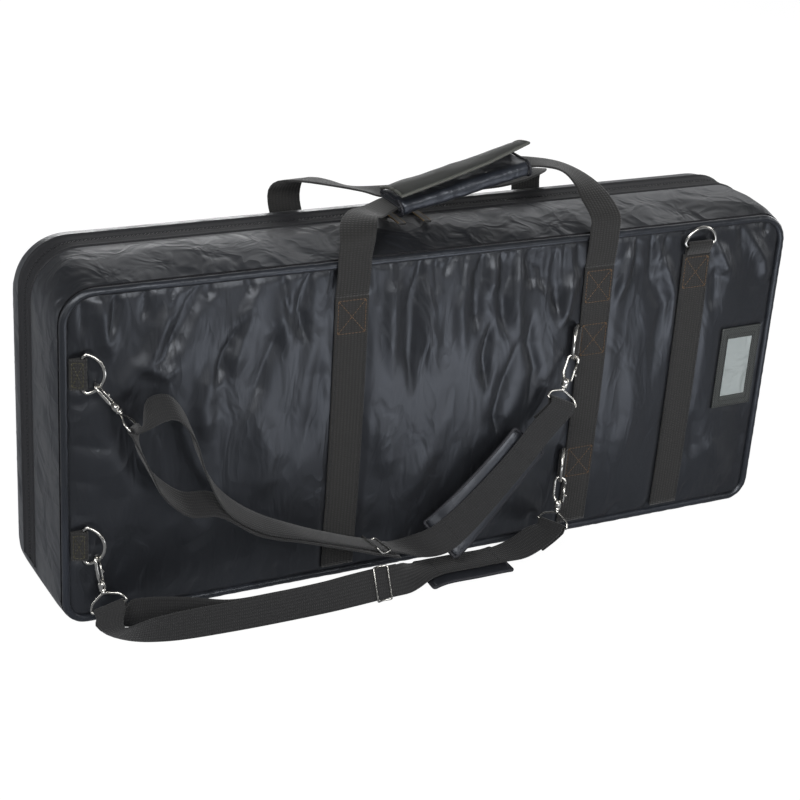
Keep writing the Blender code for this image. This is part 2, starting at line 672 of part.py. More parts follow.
back_loop = [
    station(LEFT_X, foot_y(LEFT_X), LOOP_FOOT, (-1, 0, 0)),
    station(-0.131, LEG_Y, BEAD_FOOT, (-1, 0, 0)),
    station(-0.136, LEG_Y + 0.001, 0.398, (-1, 0, 0)),
    station(-0.136, 0.0905, 0.4120, (-1, 0, 0.05)),
    station(-0.134, 0.0780, 0.4265, (-0.95, -0.30, 0.10)),
    station(-0.120, 0.0590, 0.4320, (-0.72, -0.68, 0.15)),
    station(-0.098, 0.0460, 0.4300, (-0.30, -0.95, 0.15)),
    station(-0.072, 0.0385, 0.4240, (0, -0.98, 0.15)),
    station(-0.045, 0.037, 0.4185, (0, -1, 0)),
    station(0.030, 0.037, 0.4170, (0, -1, 0)),
    station(0.105, 0.037, 0.4175, (0, -1, 0)),
    station(0.140, 0.041, 0.4210, (0.10, -1, 0)),
    station(0.168, 0.057, 0.4220, (0.60, -0.80, 0)),
    station(0.184, 0.078, 0.4150, (0.95, -0.30, 0)),
    station(RIGHT_X, 0.0925, 0.4010, (1, 0, 0)),
    station(RIGHT_X, LEG_Y, BEAD_FOOT, (1, 0, 0)),
    station(RIGHT_X, foot_y(RIGHT_X), LOOP_FOOT, (1, 0, 0)),
]
loop_back = move_origin(ribbon("handle_loop_back", smooth(back_loop, 0.012), WEB_W, WEB_T),
                        Vector((0, HANDLE_AXIS_Y, LOOP_FOOT)))


def wrap_profile(half_w, half_h, wall, corner, steps=3):
    """Section of the padded wrap, open towards the back: outside round the front, inside back again."""
    def side_points(hw, hh, r):
        lower = [(-hw + r - r * sin(a), -hh + r - r * cos(a)) for a in (pi / 2 * i / steps for i in range(steps + 1))]
        return lower + [(y, -n) for y, n in reversed(lower)]
    outside = [(half_w, -half_h)] + side_points(half_w, half_h, corner) + [(half_w, half_h)]
    inside = side_points(half_w - wall, half_h - wall, 0.0012)
    return outside + [(half_w, half_h - wall)] + list(reversed(inside)) + [(half_w, -half_h + wall)]


GRIP_CORNER = 0.0060
profile = wrap_profile(GRIP_W / 2, GRIP_H / 2, GRIP_T, GRIP_CORNER)
grip_wrap = loft("grip_wrap", [[on_grip(along, y, n) for y, n in profile]
                               for along in (-GRIP_HALF, -GRIP_HALF / 2, 0, GRIP_HALF / 2, GRIP_HALF)], WEBBING)

FLAP_LIFT = (8, 11, 15, 23)               # degrees off the wrap, from the left end to the right
FLAP_REACH = 0.056
FLAP_HINGE_Y = GRIP_W / 2 - 0.001
FLAP_HINGE_UP = GRIP_H / 2 + 0.0006 + FLAP_T / 2
flap_sections = []
for i, lift in enumerate(FLAP_LIFT):
    along = -GRIP_HALF + 2 * GRIP_HALF * i / (len(FLAP_LIFT) - 1)
    reach = Vector((-cos(radians(lift)), sin(radians(lift))))
    face = Vector((-reach.y, reach.x)) * -1
    section = []
    for far, thick in ((0, -1), (0, 1), (0.5, 1), (1, 1), (1, -1), (0.5, -1)):
        spot = reach * far * FLAP_REACH + face * thick * FLAP_T / 2
        section.append(on_grip(along, FLAP_HINGE_Y + spot.x, FLAP_HINGE_UP + spot.y))
    flap_sections.append(section)
grip_flap = move_origin(loft("grip_flap", flap_sections, NYLON), on_grip(0, FLAP_HINGE_Y, FLAP_HINGE_UP))
hang(axis_empty("front_handle_axis", Vector((0, -HANDLE_AXIS_Y, LOOP_FOOT))), loop_front, grip_wrap, grip_flap)


# ---------------------------------------------------------------- zip sliders and their pulls
SLIDER_LIFT = 0.0004      # over the front tape
LID_CLEAR = 0.0017        # over the lid's tape, which rises as the lid swings back
TAPE_TOP = HEIGHT + TOP_RISE - COIL_DROP
PULL_BAR = (ZIP_MID - 0.0085, TAPE_TOP + 0.0036)     # y and z of the pull's pivot
PULL_DROP = 0.0012


def make_slider(name, x):
    """Slider body over the meeting tapes, stepped up over the lid's tape."""
    length, width, height = SLIDER
    near, far = -width / 2, width / 2
    step = ZIP_HALF - 0.0008
    edge = 0.0018
    outline_yz = [(near, SLIDER_LIFT), (step, SLIDER_LIFT), (step, LID_CLEAR), (far, LID_CLEAR),
                  (far, height - edge), (far - 1.4 * edge, height), (near + 1.4 * edge, height), (near, height - edge)]
    sections = [[Vector((sx * length / 2, y, z)) for y, z in outline_yz] for sx in (-1, 1)]
    slider = loft(name, sections, STEEL)
    slider.location = (x, ZIP_MID, TAPE_TOP)
    return slider


def make_pull(name, x):
    """Webbing pull, lying forward on the front shell from its slider."""
    width, length, thick = PULL
    sections = []
    for along, half in ((0, 0.6), (0.08, 1.0), (0.9, 1.0), (1.0, 0.7)):
        sections.append([Vector((sx * half * width / 2, -along * length, sz * thick / 2 - PULL_DROP * along))
                         for sx, sz in ((-1, -1), (1, -1), (1, 1), (-1, 1))])
    pull = loft(name, sections, EDGE)
    pull.location = (x, *PULL_BAR)
    return pull


for side_name, slider_x in zip(("left", "right"), SLIDER_X):
    hang(make_slider("slider_" + side_name, slider_x), make_pull("pull_" + side_name, slider_x))


# ---------------------------------------------------------------- snap hooks
def revolve(name, profile, steps=10):
    """Solid of revolution about Z from a profile that starts and ends on the axis."""
    bm = bmesh.new()
    verts = [bm.verts.new((r, 0, z)) for r, z in profile]
    edges = [bm.edges.new(pair) for pair in zip(verts, verts[1:])]
    bmesh.ops.spin(bm, geom=verts + edges, cent=(0, 0, 0), axis=(0, 0, 1), angle=2 * pi, steps=steps)
    bmesh.ops.remove_doubles(bm, verts=bm.verts, dist=1e-6)
    bmesh.ops.recalc_face_normals(bm, faces=bm.faces)
    mesh = bpy.data.meshes.new(name)
    bm.to_mesh(mesh)
    bm.free()
    return mesh


def union(name, meshes, matrix, mat):
    """Boolean union of meshes made in one local frame, placed by the matrix."""
    helpers = []
    for mesh in meshes:
        helper = bpy.data.objects.new(name + "_helper", mesh)
        CASE.objects.link(helper)
        helpers.append(helper)
    base = helpers[0]
    for other in helpers[1:]:
        mod = base.modifiers.new("join", "BOOLEAN")
        mod.operation = "UNION"
        mod.object = other
    depsgraph = bpy.context.evaluated_depsgraph_get()
    joined = bpy.data.meshes.new_from_object(base.evaluated_get(depsgraph))
    joined.name = name
    bm = bmesh.new()
    bm.from_mesh(joined)
    bmesh.ops.remove_doubles(bm, verts=bm.verts, dist=1e-5)
    bmesh.ops.dissolve_degenerate(bm, edges=bm.edges, dist=1e-5)
    bm.to_mesh(joined)
    bm.free()
    for helper in helpers:
        bpy.data.objects.remove(helper, do_unlink=True)
    return place(add_object(name, joined, mat), matrix)


SOCKET_R = STEM_R + SEAT
SOCKET_TOP = 0.0080       # the socket's solid neck carries the bow and the gate
HOOK_SHUT = 0.0284        # where the bow's tip ends, over the gate
GATE_FOOT, GATE_TIP = 0.0058, 0.0276
GATE_X = BARREL_R + SEAT + GATE_R
GATE_PIVOT_Z = 0.0070
RING_IN_BOW = HOOK_REACH + HOOK_BOW - HOOK_WIRE - RING_WIRE   # where the ring's wire lies


def hook_frame(ring_point, away, bow_side, slack):
    """Frame of a hook: Z towards the ring, X across the bow, origin in the swivel socket."""
    z = -Vector(away).normalized()
    x = (Vector(bow_side) - z * Vector(bow_side).dot(z)).normalized()
    y = z.cross(x)
    matrix = Matrix((x, y, z)).transposed().to_4x4()
    matrix.translation = ring_point - z * (RING_IN_BOW - slack)
    return matrix


def make_hook(name, matrix):
    """Swivel socket and bow in one piece, its origin in the socket on the swivel axis."""
    socket = revolve(name + "_socket", [(0, SOCKET_TOP), (BARREL_R - 0.0010, SOCKET_TOP), (BARREL_R, SOCKET_TOP - 0.0010),
                                        (BARREL_R, -BARREL_H / 2), (SOCKET_R, -BARREL_H / 2),
                                        (SOCKET_R, STEM_R), (0, STEM_R)])
    bow_steps = 7
    bow = [(HOOK_BOW * cos(pi - pi * i / bow_steps), 0, HOOK_REACH + HOOK_BOW * sin(pi * i / bow_steps))
           for i in range(bow_steps + 1)]
    path = [(-0.0012, 0, 0.0048), (-0.0040, 0, 0.0085), (-HOOK_BOW, 0, 0.0130)] + bow + [(HOOK_BOW, 0, HOOK_SHUT)]
    rail = mesh_from_curve(name + "_rail", wire_curve(name, path, HOOK_WIRE, bevel=1))
    return union(name, [socket, rail], matrix, STEEL)


def make_gate(name, matrix):
    """Sprung gate, its origin on its pivot."""
    span = GATE_TIP - GATE_FOOT
    path = [(0, 0, GATE_FOOT - GATE_PIVOT_Z + span * t) for t in (0, 0.14, 0.30, 0.46, 1.0)]
    data = wire_curve(name, path, GATE_R, bevel=1, swell=(1.0, 1.0, 1.5, 1.0, 0.9))
    gate = add_object(name, mesh_from_curve(name, data), STEEL)
    return place(gate, matrix @ Matrix.Translation((GATE_X, 0, GATE_PIVOT_Z)))


EYE_HALF = STRAP_W / 2 + 0.0030 + EYE_WIRE
BALL_Z = -0.0062          # the ball under the socket, where the webbing eye starts
BALL_R = 0.0028


def make_eye(name, matrix, bar, wide):
    """Swivel stem with its ball and the triangular webbing eye, whose bar is given in the case's frame."""
    stem = revolve(name + "_stem", [(0, 0.0012), (STEM_R, 0.0012), (STEM_R, BALL_Z + BALL_R * 0.75),
                                    (BALL_R, BALL_Z), (BALL_R * 0.7, BALL_Z - BALL_R * 0.7), (0, BALL_Z - BALL_R)],
                   steps=10)
    inverse = matrix.inverted()
    mid = inverse @ Vector(bar)
    across = (inverse.to_3x3() @ Vector(wide)).normalized()
    apex = Vector((0, 0, BALL_Z))
    shoulder = 0.45
    points = []
    for sx in (-1, 1):
        corner = mid + sx * EYE_HALF * across
        slope = apex + (mid - apex) * shoulder + sx * EYE_HALF * 0.80 * across
        points += [corner, slope] if sx < 0 else [slope, corner]
    points.insert(2, apex)
    wire = mesh_from_curve(name + "_wire", wire_curve(name, points, EYE_WIRE, closed=True, bevel=1))
    return union(name, [stem, wire], matrix, STEEL)


# place: angle round the ring, slack between bow and ring, direction from ring to socket, webbing eye's
# bar and its width direction
HOOKS = {
    "upper_left": (-45, 0.0011, (0.60, -0.12, -0.79), (-0.3850, -0.1100, 0.2370), (-0.10, 0.90, 0.35)),
    "lower_left": (-50, 0.0014, (0.10, -0.20, -0.97), (-0.4120, -0.1115, 0.0300), (0.80, -0.45, 0.40)),
    "upper_middle": (-60, 0.0011, (-0.40, -0.20, -0.89), (0.1350, -0.1180, 0.1950), (-0.87, 0.10, 0.49)),
    "lower_middle": (-66, 0.0011, (-0.15, -0.22, -0.97), (0.1450, -0.1110, 0.0290), (0.0, 0.85, 0.50)),
}
EYES = {}
for where, (angle, slack, away, eye_bar, eye_wide) in HOOKS.items():
    bar, ring_out = RINGS[where][0], RING_OUT[where]
    turn = radians(angle)
    wire_point = bar + RING_R * (cos(turn) * ring_out + sin(turn) * Z_AXIS)
    tangent = cos(turn) * Z_AXIS - sin(turn) * ring_out
    matrix = hook_frame(wire_point, away, tangent.cross(Vector(away)), slack)
    hang(make_hook("hook_" + where, matrix), make_gate("gate_" + where, matrix))
    ball = matrix @ Vector((0, 0, BALL_Z))
    leave = (Vector(eye_bar) - ball).normalized()
    wide = Vector(eye_wide)
    wide = (wide - leave * wide.dot(leave)).normalized()
    EYES[where] = (Vector(eye_bar), leave, wide)
    make_eye("eye_" + where, matrix, eye_bar, wide)


# ---------------------------------------------------------------- shoulder straps
EYE_WRAP = EYE_WIRE + 0.0004 + STRAP_T / 2     # webbing round an eye's bar
RIBBON_STEP = 0.013


def wrap_bar(where, first_side):
    """Stations of webbing that turns round an eye's bar, starting on the given face."""
    bar, leave, wide = EYES[where]
    face = leave.cross(wide)
    out = [(bar + first_side * face * EYE_WRAP + leave * 0.006, wide)]
    for i in range(6):
        turn = pi * i / 5
        out.append((bar + first_side * face * EYE_WRAP * cos(turn) - leave * EYE_WRAP * sin(turn), wide))
    out.append((bar - first_side * face * EYE_WRAP + leave * 0.006, wide))
    return out


def ply_under(stations, gaps):
    """Stations of a second ply that follows the first, in reverse, this far behind its face."""
    out = []
    for (point, _, across, face), gap in zip(frames(stations), gaps):
        out.append((point - face * gap, across))
    return list(reversed(out))


upper_run = [
    station(-0.290, -0.1210, 0.1440, (0, 0.90, 0.43)),
    station(-0.248, -0.1210, 0.1090, (0, 0.96, 0.28)),
    station(-0.192, -0.1215, 0.0850, (0, 1, 0)),
    station(-0.134, -0.1220, 0.0635, (0, 0.995, -0.10)),
    station(-0.100, -0.1220, 0.0520, (0, 0.995, -0.10)),
    station(-0.074, -0.1220, 0.0440, (0, 0.995, -0.10)),
]
PLY = STRAP_T + 0.0010    # plies lie this far apart, middle to middle
GLIDE_PLY = 0.0054        # and this far at the buckle, whose centre bar lies between them
upper_inner = ply_under(upper_run, (0.0100, 0.0056, 0.0044, 0.0046, GLIDE_PLY, GLIDE_PLY)) + [
    station(-0.330, -0.1170, 0.1430, (0, 0.90, 0.43)),
    station(-0.360, -0.1150, 0.1700, (-0.05, 0.90, 0.40)),
    station(-0.376, -0.1120, 0.2030, (-0.10, 0.90, 0.35)),
]
upper_outer = [
    station(-0.366, -0.1150, 0.2560, (-0.05, 0.90, 0.40)),
    station(-0.346, -0.1180, 0.2590, (0, 0.90, 0.43)),
    station(-0.327, -0.1195, 0.2340, (0, 0.90, 0.43)),
    station(-0.313, -0.1205, 0.1900, (0, 0.90, 0.43)),
] + upper_run + [
    station(-0.045, -0.1235, 0.0405, (-0.20, 0.91, 0.33)),
    station(-0.018, -0.1260, 0.0460, (-0.45, 0.65, 0.60)),
    station(0.010, -0.1270, 0.0660, (-0.62, 0.35, 0.70)),
    station(0.045, -0.1260, 0.0980, (-0.70, 0.15, 0.69)),
    station(0.080, -0.1240, 0.1330, (-0.73, 0.05, 0.68)),
    station(0.110, -0.1210, 0.1650, (-0.78, 0.05, 0.62)),
]
upper_tail = [station(0.113, -0.1170, 0.1695, (-0.78, 0.05, 0.62))]
upper_path = smooth(upper_inner + wrap_bar("upper_left", -1) + upper_outer + wrap_bar("upper_middle", -1)
                    + upper_tail, RIBBON_STEP)
ribbon("shoulder_webbing_upper", upper_path, STRAP_W, STRAP_T)

lower_run = [
    station(-0.2900, -0.1590, 0.0189, (0, 0.10, 0.99)),
    station(-0.2400, -0.1595, 0.0189, (0, 0.15, 0.99)),
    station(-0.1800, -0.1585, 0.0190, (0, 0.22, 0.98)),
    station(-0.1400, -0.1565, 0.0200, (0, 0.38, 0.92)),
    station(-0.1060, -0.1544, 0.0204, (0, 0.40, 0.92)),
    station(-0.0820, -0.1529, 0.0201, (0, 0.44, 0.90)),
]
lower_inner = ply_under(lower_run, (0.0060, PLY, PLY, 0.0046, GLIDE_PLY, GLIDE_PLY)) + [
    station(-0.328, -0.1330, 0.0189, (0, 0, 1)),
    station(-0.365, -0.1180, 0.0189, (0.05, -0.05, 1)),
    station(-0.390, -0.1130, 0.0190, (0.20, -0.10, 0.97)),
    station(-0.4025, -0.1115, 0.0215, (0.58, -0.30, 0.72)),
]
lower_outer = [
    station(-0.4165, -0.1240, 0.0190, (0.65, -0.60, 0.45)),
    station(-0.4135, -0.1360, 0.0145, (0.30, -0.75, 0.60)),
    station(-0.4000, -0.1480, 0.0165, (0.05, -0.55, 0.83)),
    station(-0.3780, -0.1535, 0.0182, (0, -0.25, 0.97)),
    station(-0.3450, -0.1570, 0.0189, (0, 0, 1)),
] + lower_run + [
    station(-0.0600, -0.1450, 0.0166, (0, 0.92, 0.39)),
    station(-0.0400, -0.1350, 0.0142, (0, 0.99, 0.08)),
    station(-0.0200, -0.1300, 0.0132, (0, 1, 0)),
    station(0.0200, -0.1300, 0.0130, (0, 1, 0)),
    station(0.0600, -0.1300, 0.0130, (0, 1, 0)),
    station(0.0880, -0.1270, 0.0140, (-0.10, 0.97, 0.20)),
    station(0.1150, -0.1190, 0.0185, (-0.15, 0.93, 0.32)),
]
lower_tail = [station(0.1190, -0.1155, 0.0132, (-0.15, 0.93, 0.32))]
lower_path = smooth(lower_inner + wrap_bar("lower_left", -1) + lower_outer + wrap_bar("lower_middle", -1)
                    + lower_tail, RIBBON_STEP)
ribbon("shoulder_webbing_lower", lower_path, STRAP_W, STRAP_T)


def stretch(path, start_x, end_x):
    """The frames of a path's last part between two X values, while it runs towards +X."""
    return [frame for frame in frames(path) if start_x <= frame[0].x <= end_x and frame[1].x > 0]


PAD_RIM = 0.0025          # half thickness of a pad's bound edge


def make_pad(name, stations, side):
    """Padded sleeve under the webbing, thinning to its bound edges."""
    half = PAD_T / 2
    profile = [(-1, -PAD_RIM), (-0.86, -half), (0.86, -half), (1, -PAD_RIM),
               (1, PAD_RIM), (0.86, half), (-0.86, half), (-1, PAD_RIM)]
    sink = side * (STRAP_T / 2 + 2 * PLY_GAP + half)
    sections = []
    for point, _, across, face in stations:
        middle = point + face * sink
        sections.append([middle + across * w * PAD_W / 2 + face * n for w, n in profile])
    return loft(name, sections, FOAM)


make_pad("shoulder_pad_upper", stretch(upper_path, -0.020, 0.098), -1)
make_pad("shoulder_pad_lower", stretch(lower_path, -0.042, 0.068), -1)

GLIDE_WIRE = 0.0011
GLIDE_HALF = 0.0090       # end bar to centre bar
GLIDE_OVER = STRAP_T / 2 + PLY_GAP + GLIDE_WIRE


def make_glide(name, point, along, wide):
    """Tri-glide buckle: the outer ply runs under the end bars and over the centre bar."""
    half = STRAP_W / 2 + SEAT + GLIDE_WIRE
    loop = []
    for sx in (1, -1):
        for sy, n in ((-1, 1), (-0.55, 0), (0, -1), (0.55, 0), (1, 1)):
            loop.append((-sx * sy * GLIDE_HALF, sx * half, n * GLIDE_OVER))
    reach = half + GLIDE_WIRE / 3
    bar = [(0, -reach, -GLIDE_OVER), (0, reach, -GLIDE_OVER)]
    wires = [mesh_from_curve(name + "_loop", wire_curve(name, loop, GLIDE_WIRE, closed=True, bevel=1)),
             mesh_from_curve(name + "_bar", wire_curve(name, bar, 0.85 * GLIDE_WIRE, bevel=1))]
    return union(name, wires, frame_matrix(point, along, wide), STEEL)


for where, stations in (("upper", upper_run), ("lower", lower_run)):
    point, run_way, across, _ = frames(stations)[-2]
    make_glide("glide_" + where, point, run_way, across)


# ---------------------------------------------------------------- the lid turns on one axis
LID_AXIS = Vector((0, 0.0900, 0.0060))    # behind and above the lower bead, so the open lid lies on its back
LID_PIECES = ("lid_gusset", "back_panel", "back_piping", "lid_padding", "lid_lining", "lid_zip_tape",
              "strap_back_left", "strap_back_middle", "strap_back_end", "tab_back_end", "ring_back_end",
              "handle_loop_back")
hang(axis_empty("lid_axis", LID_AXIS), *(bpy.data.objects[name] for name in LID_PIECES))
bpy.context.view_layer.update()
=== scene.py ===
"""Padded telescope carry case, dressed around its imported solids.

Two quilted nylon shells meet at a long zip.  Webbing straps, a wrapped double handle, two clipped
shoulder straps, nickel hardware and a card window are sewn on.  Everything is in metres.
"""
import json
from math import cos, exp, hypot, pi, radians, sin, sqrt

import bmesh
import bpy
import numpy as np
from mathutils import Matrix, Vector, noise
from mathutils.bvhtree import BVHTree


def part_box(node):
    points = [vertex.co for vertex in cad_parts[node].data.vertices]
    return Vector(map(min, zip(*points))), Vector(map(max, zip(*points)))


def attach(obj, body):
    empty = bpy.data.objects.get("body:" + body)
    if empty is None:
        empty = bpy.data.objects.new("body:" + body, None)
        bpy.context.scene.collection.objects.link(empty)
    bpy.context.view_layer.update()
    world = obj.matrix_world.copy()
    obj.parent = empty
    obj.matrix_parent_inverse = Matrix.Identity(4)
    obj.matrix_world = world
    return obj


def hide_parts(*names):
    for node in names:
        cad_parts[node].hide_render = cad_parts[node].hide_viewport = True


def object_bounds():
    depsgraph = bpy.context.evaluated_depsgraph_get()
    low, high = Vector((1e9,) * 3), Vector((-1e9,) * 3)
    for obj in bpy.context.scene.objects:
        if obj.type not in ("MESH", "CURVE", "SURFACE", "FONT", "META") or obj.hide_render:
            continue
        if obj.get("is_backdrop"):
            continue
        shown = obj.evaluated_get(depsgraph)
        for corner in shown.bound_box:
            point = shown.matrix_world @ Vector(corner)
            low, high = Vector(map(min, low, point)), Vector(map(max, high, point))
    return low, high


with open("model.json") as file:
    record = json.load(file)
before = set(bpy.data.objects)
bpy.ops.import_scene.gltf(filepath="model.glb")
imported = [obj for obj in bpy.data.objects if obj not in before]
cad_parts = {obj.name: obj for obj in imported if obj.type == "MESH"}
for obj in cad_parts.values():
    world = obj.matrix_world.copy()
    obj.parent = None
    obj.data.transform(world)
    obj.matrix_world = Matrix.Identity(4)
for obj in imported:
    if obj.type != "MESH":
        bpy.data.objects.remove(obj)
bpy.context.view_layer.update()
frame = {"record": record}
JOINT = {joint["name"]: joint for joint in frame["record"]["behaviour"]["joints"]}


# ---------------------------------------------------------------- camera
# A long lens looks down on the case from the front and the left, so that the front panel, the left
# end and the zipped top all show.
def set_camera():
    yaw, pitch, roll = radians(28.49), radians(24.04), radians(4.03)
    ahead = Vector((sin(yaw) * cos(pitch), cos(yaw) * cos(pitch), -sin(pitch)))
    level = ahead.cross(Vector((0, 0, 1))).normalized()
    upright = level.cross(ahead)
    right = level * cos(roll) + upright * sin(roll)
    top = upright * cos(roll) - level * sin(roll)
    data = bpy.data.cameras.new("camera")
    data.lens = 81.35
    data.sensor_width = 36.0
    camera = bpy.data.objects.new("camera", data)
    turn = Matrix((right, top, -ahead)).transposed().to_4x4()
    camera.matrix_world = Matrix.Translation((-0.951, -1.724, 1.044)) @ turn
    bpy.context.scene.collection.objects.link(camera)
    bpy.context.scene.camera = camera


set_camera()
bpy.context.scene.view_settings.view_transform = "Standard"


# ---------------------------------------------------------------- studio
# Soft boxes light a white sweep: one above the left shoulder and one in front draw the sheen on the
# folds, one behind lights the top, and the floor keeps only a faint contact shadow.
FLOOR_SIZE, FLOOR_Z = 8, -0.0004
WHITE = (1, 1, 1, 1)
SWEEP_GLOW = 1.05         # just over white, so that the sweep shows no edge


def from_hex(code):
    """Linear colour of an sRGB hex value."""
    parts = [int(code[i:i + 2], 16) / 255 for i in (1, 3, 5)]
    return tuple(c / 12.92 if c <= 0.04045 else ((c + 0.055) / 1.055) ** 2.4 for c in parts) + (1.0,)


def output_of(source):
    """A node's first output, or the socket itself."""
    return source.outputs[0] if hasattr(source, "outputs") else source


def add_node(tree, kind, settings=None, links=None):
    """Add a shader node; settings are its sockets, attributes or ramp stops, links feed its inputs."""
    made = tree.nodes.new("ShaderNode" + kind)
    for key, value in (settings or {}).items():
        if key == "stops":
            for stop, (position, code) in zip(made.color_ramp.elements, value):
                stop.position = position
                stop.color = from_hex(code)
        elif isinstance(key, int) or key in made.inputs:
            made.inputs[key].default_value = value
        else:
            setattr(made, key, value)
    for key, source in (links or {}).items():
        tree.links.new(output_of(source), made.inputs[key])
    return made


def bare_tree(owner):
    """The owner's node tree, emptied."""
    owner.use_nodes = True
    owner.node_tree.nodes.clear()
    return owner.node_tree


def soft_box(name, place, aim, size, power):
    data = bpy.data.lights.new(name, "AREA")
    data.shape = "RECTANGLE"
    data.size, data.size_y = size
    data.energy = power
    lamp = bpy.data.objects.new(name, data)
    lamp.location = place
    lamp.rotation_euler = (Vector(aim) - Vector(place)).to_track_quat("-Z", "Y").to_euler()
    bpy.context.scene.collection.objects.link(lamp)


soft_box("key_box", (-1.9, -1.5, 2.3), (0, 0, 0.2), (1.3, 1.0), 44)
soft_box("front_box", (-0.3, -3.4, 1.7), (0, 0, 0.2), (2.8, 1.2), 70)
soft_box("back_box", (1.5, 2.6, 1.9), (0.1, 0, 0.3), (3.4, 1.6), 16)
soft_box("right_box", (2.4, -1.2, 1.0), (0.2, 0, 0.2), (0.5, 1.4), 8)
soft_box("left_box", (-2.6, 0.4, 0.9), (-0.4, 0, 0.2), (0.5, 1.3), 8)
soft_box("end_box", (2.6, 0.6, 0.9), (0.4, 0, 0.2), (0.5, 1.3), 14)
soft_box("rear_box", (0.9, 3.2, 0.55), (0, 0, 0.2), (1.8, 0.7), 16)


def set_world():
    """Even pale light, seen as pure white by the lens and through the clear vinyl."""
    world = bpy.data.worlds.new("studio")
    tree = bare_tree(world)
    path = add_node(tree, "LightPath")
    seen = add_node(tree, "Math", {"operation": "ADD", "use_clamp": True},
                    {0: path.outputs["Is Camera Ray"], 1: path.outputs["Is Transmission Ray"]})
    dim = add_node(tree, "Background", {"Color": from_hex("#F4F6FA"), "Strength": 0.16})
    bright = add_node(tree, "Background", {"Color": WHITE, "Strength": SWEEP_GLOW})
    both = add_node(tree, "MixShader", None, {0: seen, 1: dim, 2: bright})
    add_node(tree, "OutputWorld", None, {"Surface": both})
    bpy.context.scene.world = world


def make_paper():
    """Matte white paper that takes a faint shadow; glossy rays see it glow in two bright patches, a painted
    reflection of two white cards.
    """
    paper = bpy.data.materials.new("white_paper")
    tree = bare_tree(paper)
    path = add_node(tree, "LightPath")
    share = add_node(tree, "Math", {"operation": "MULTIPLY", 1: 0.93}, {0: path.outputs["Is Camera Ray"]})
    matte = add_node(tree, "BsdfDiffuse", {"Color": from_hex("#F2F2F2")})
    glow = add_node(tree, "Emission", {"Color": WHITE, "Strength": SWEEP_GLOW})
    lit = add_node(tree, "MixShader", None, {0: share, 1: matte, 2: glow})
    # painted reflection: the paper glows round one spot before the case and one behind it, as if white cards
    # lay there; only the sheen of cloth and metal shows the glow
    where = add_node(tree, "TexCoord").outputs["Object"]
    front, behind = (add_node(tree, "VectorMath", {"operation": "DISTANCE", 1: middle}, {0: where})
                     for middle in ((0.27, -0.78, 0.0), (0.12, 0.88, 0.0)))
    reach = add_node(tree, "Math", {"operation": "MINIMUM"},
                     {0: front.outputs["Value"], 1: behind.outputs["Value"]})
    fall = add_node(tree, "MapRange", {"From Min": 0.10, "From Max": 0.50, "To Min": 4.0, "To Max": 0.28,
                                       "interpolation_type": "SMOOTHSTEP"}, {"Value": reach})
    # painted reflection glow: bright at the two spots and fading outwards
    painted_reflection_glow = add_node(tree, "Emission", {"Color": from_hex("#EEF2FA")}, {"Strength": fall})
    both = add_node(tree, "MixShader", None,
                    {0: path.outputs["Is Glossy Ray"], 1: lit, 2: painted_reflection_glow})
    add_node(tree, "OutputMaterial", None, {"Surface": both})
    return paper


def lay_sweep():
    mesh = bpy.data.meshes.new("floor")
    corners = [(x * FLOOR_SIZE, y * FLOOR_SIZE, FLOOR_Z) for x, y in ((-1, -1), (1, -1), (1, 1), (-1, 1))]
    mesh.from_pydata(corners, [], [(0, 1, 2, 3)])
    mesh.materials.append(make_paper())
    sweep = bpy.data.objects.new("floor", mesh)
    bpy.context.scene.collection.objects.link(sweep)
    sweep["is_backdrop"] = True


set_world()
lay_sweep()


# ---------------------------------------------------------------- front and back panels
# Coated nylon taffeta over foam, cut larger than its place and sewn down under the straps, so that it
# swells between them and breaks into long glossy folds and short gathers along the piping.
HALF_LENGTH, HEIGHT = 0.456, 0.387
FRONT_Y, BACK_Y = -0.083, 0.083
CROWN = 0.006
TOP_RISE, END_BULGE = 0.013, 0.005
TOP_DROP = -0.003         # the back panel's top lies this much lower than the front's
ZIP_START, ZIP_MID, ZIP_END = 0.0005, 0.0222, 0.0440
MID_Z = HEIGHT / 2
BEAD, BEAD_RADIUS = 0.0048, 0.0045
PANEL_INSET = 0.0062
FOOT_RADIUS, LEAST_RADIUS = 0.028, 0.004
RISE = [(FRONT_Y, 0.0), (-0.060, 0.55 * TOP_RISE), (-0.030, 0.9 * TOP_RISE), (ZIP_START, TOP_RISE),
        (ZIP_END, TOP_RISE), (0.062, 0.75 * TOP_RISE), (BACK_Y, TOP_DROP)]
BULGE = [(FRONT_Y, 0.0), (-0.060, 0.4 * END_BULGE), (ZIP_START, 0.8 * END_BULGE), (ZIP_END, END_BULGE),
         (0.062, 0.9 * END_BULGE), (BACK_Y, 0.0)]
RADIUS = [(FRONT_Y, 0.038), (-0.030, 0.046), (ZIP_START, 0.054), (BACK_Y, 0.056)]
LONG, SHORT, TURN = 150, 56, 12          # steps along the long and short sides and round each corner


def table_value(table, y):
    """Value at y from (y, value) pairs."""
    ys, values = zip(*table)
    return float(np.interp(y, ys, values))


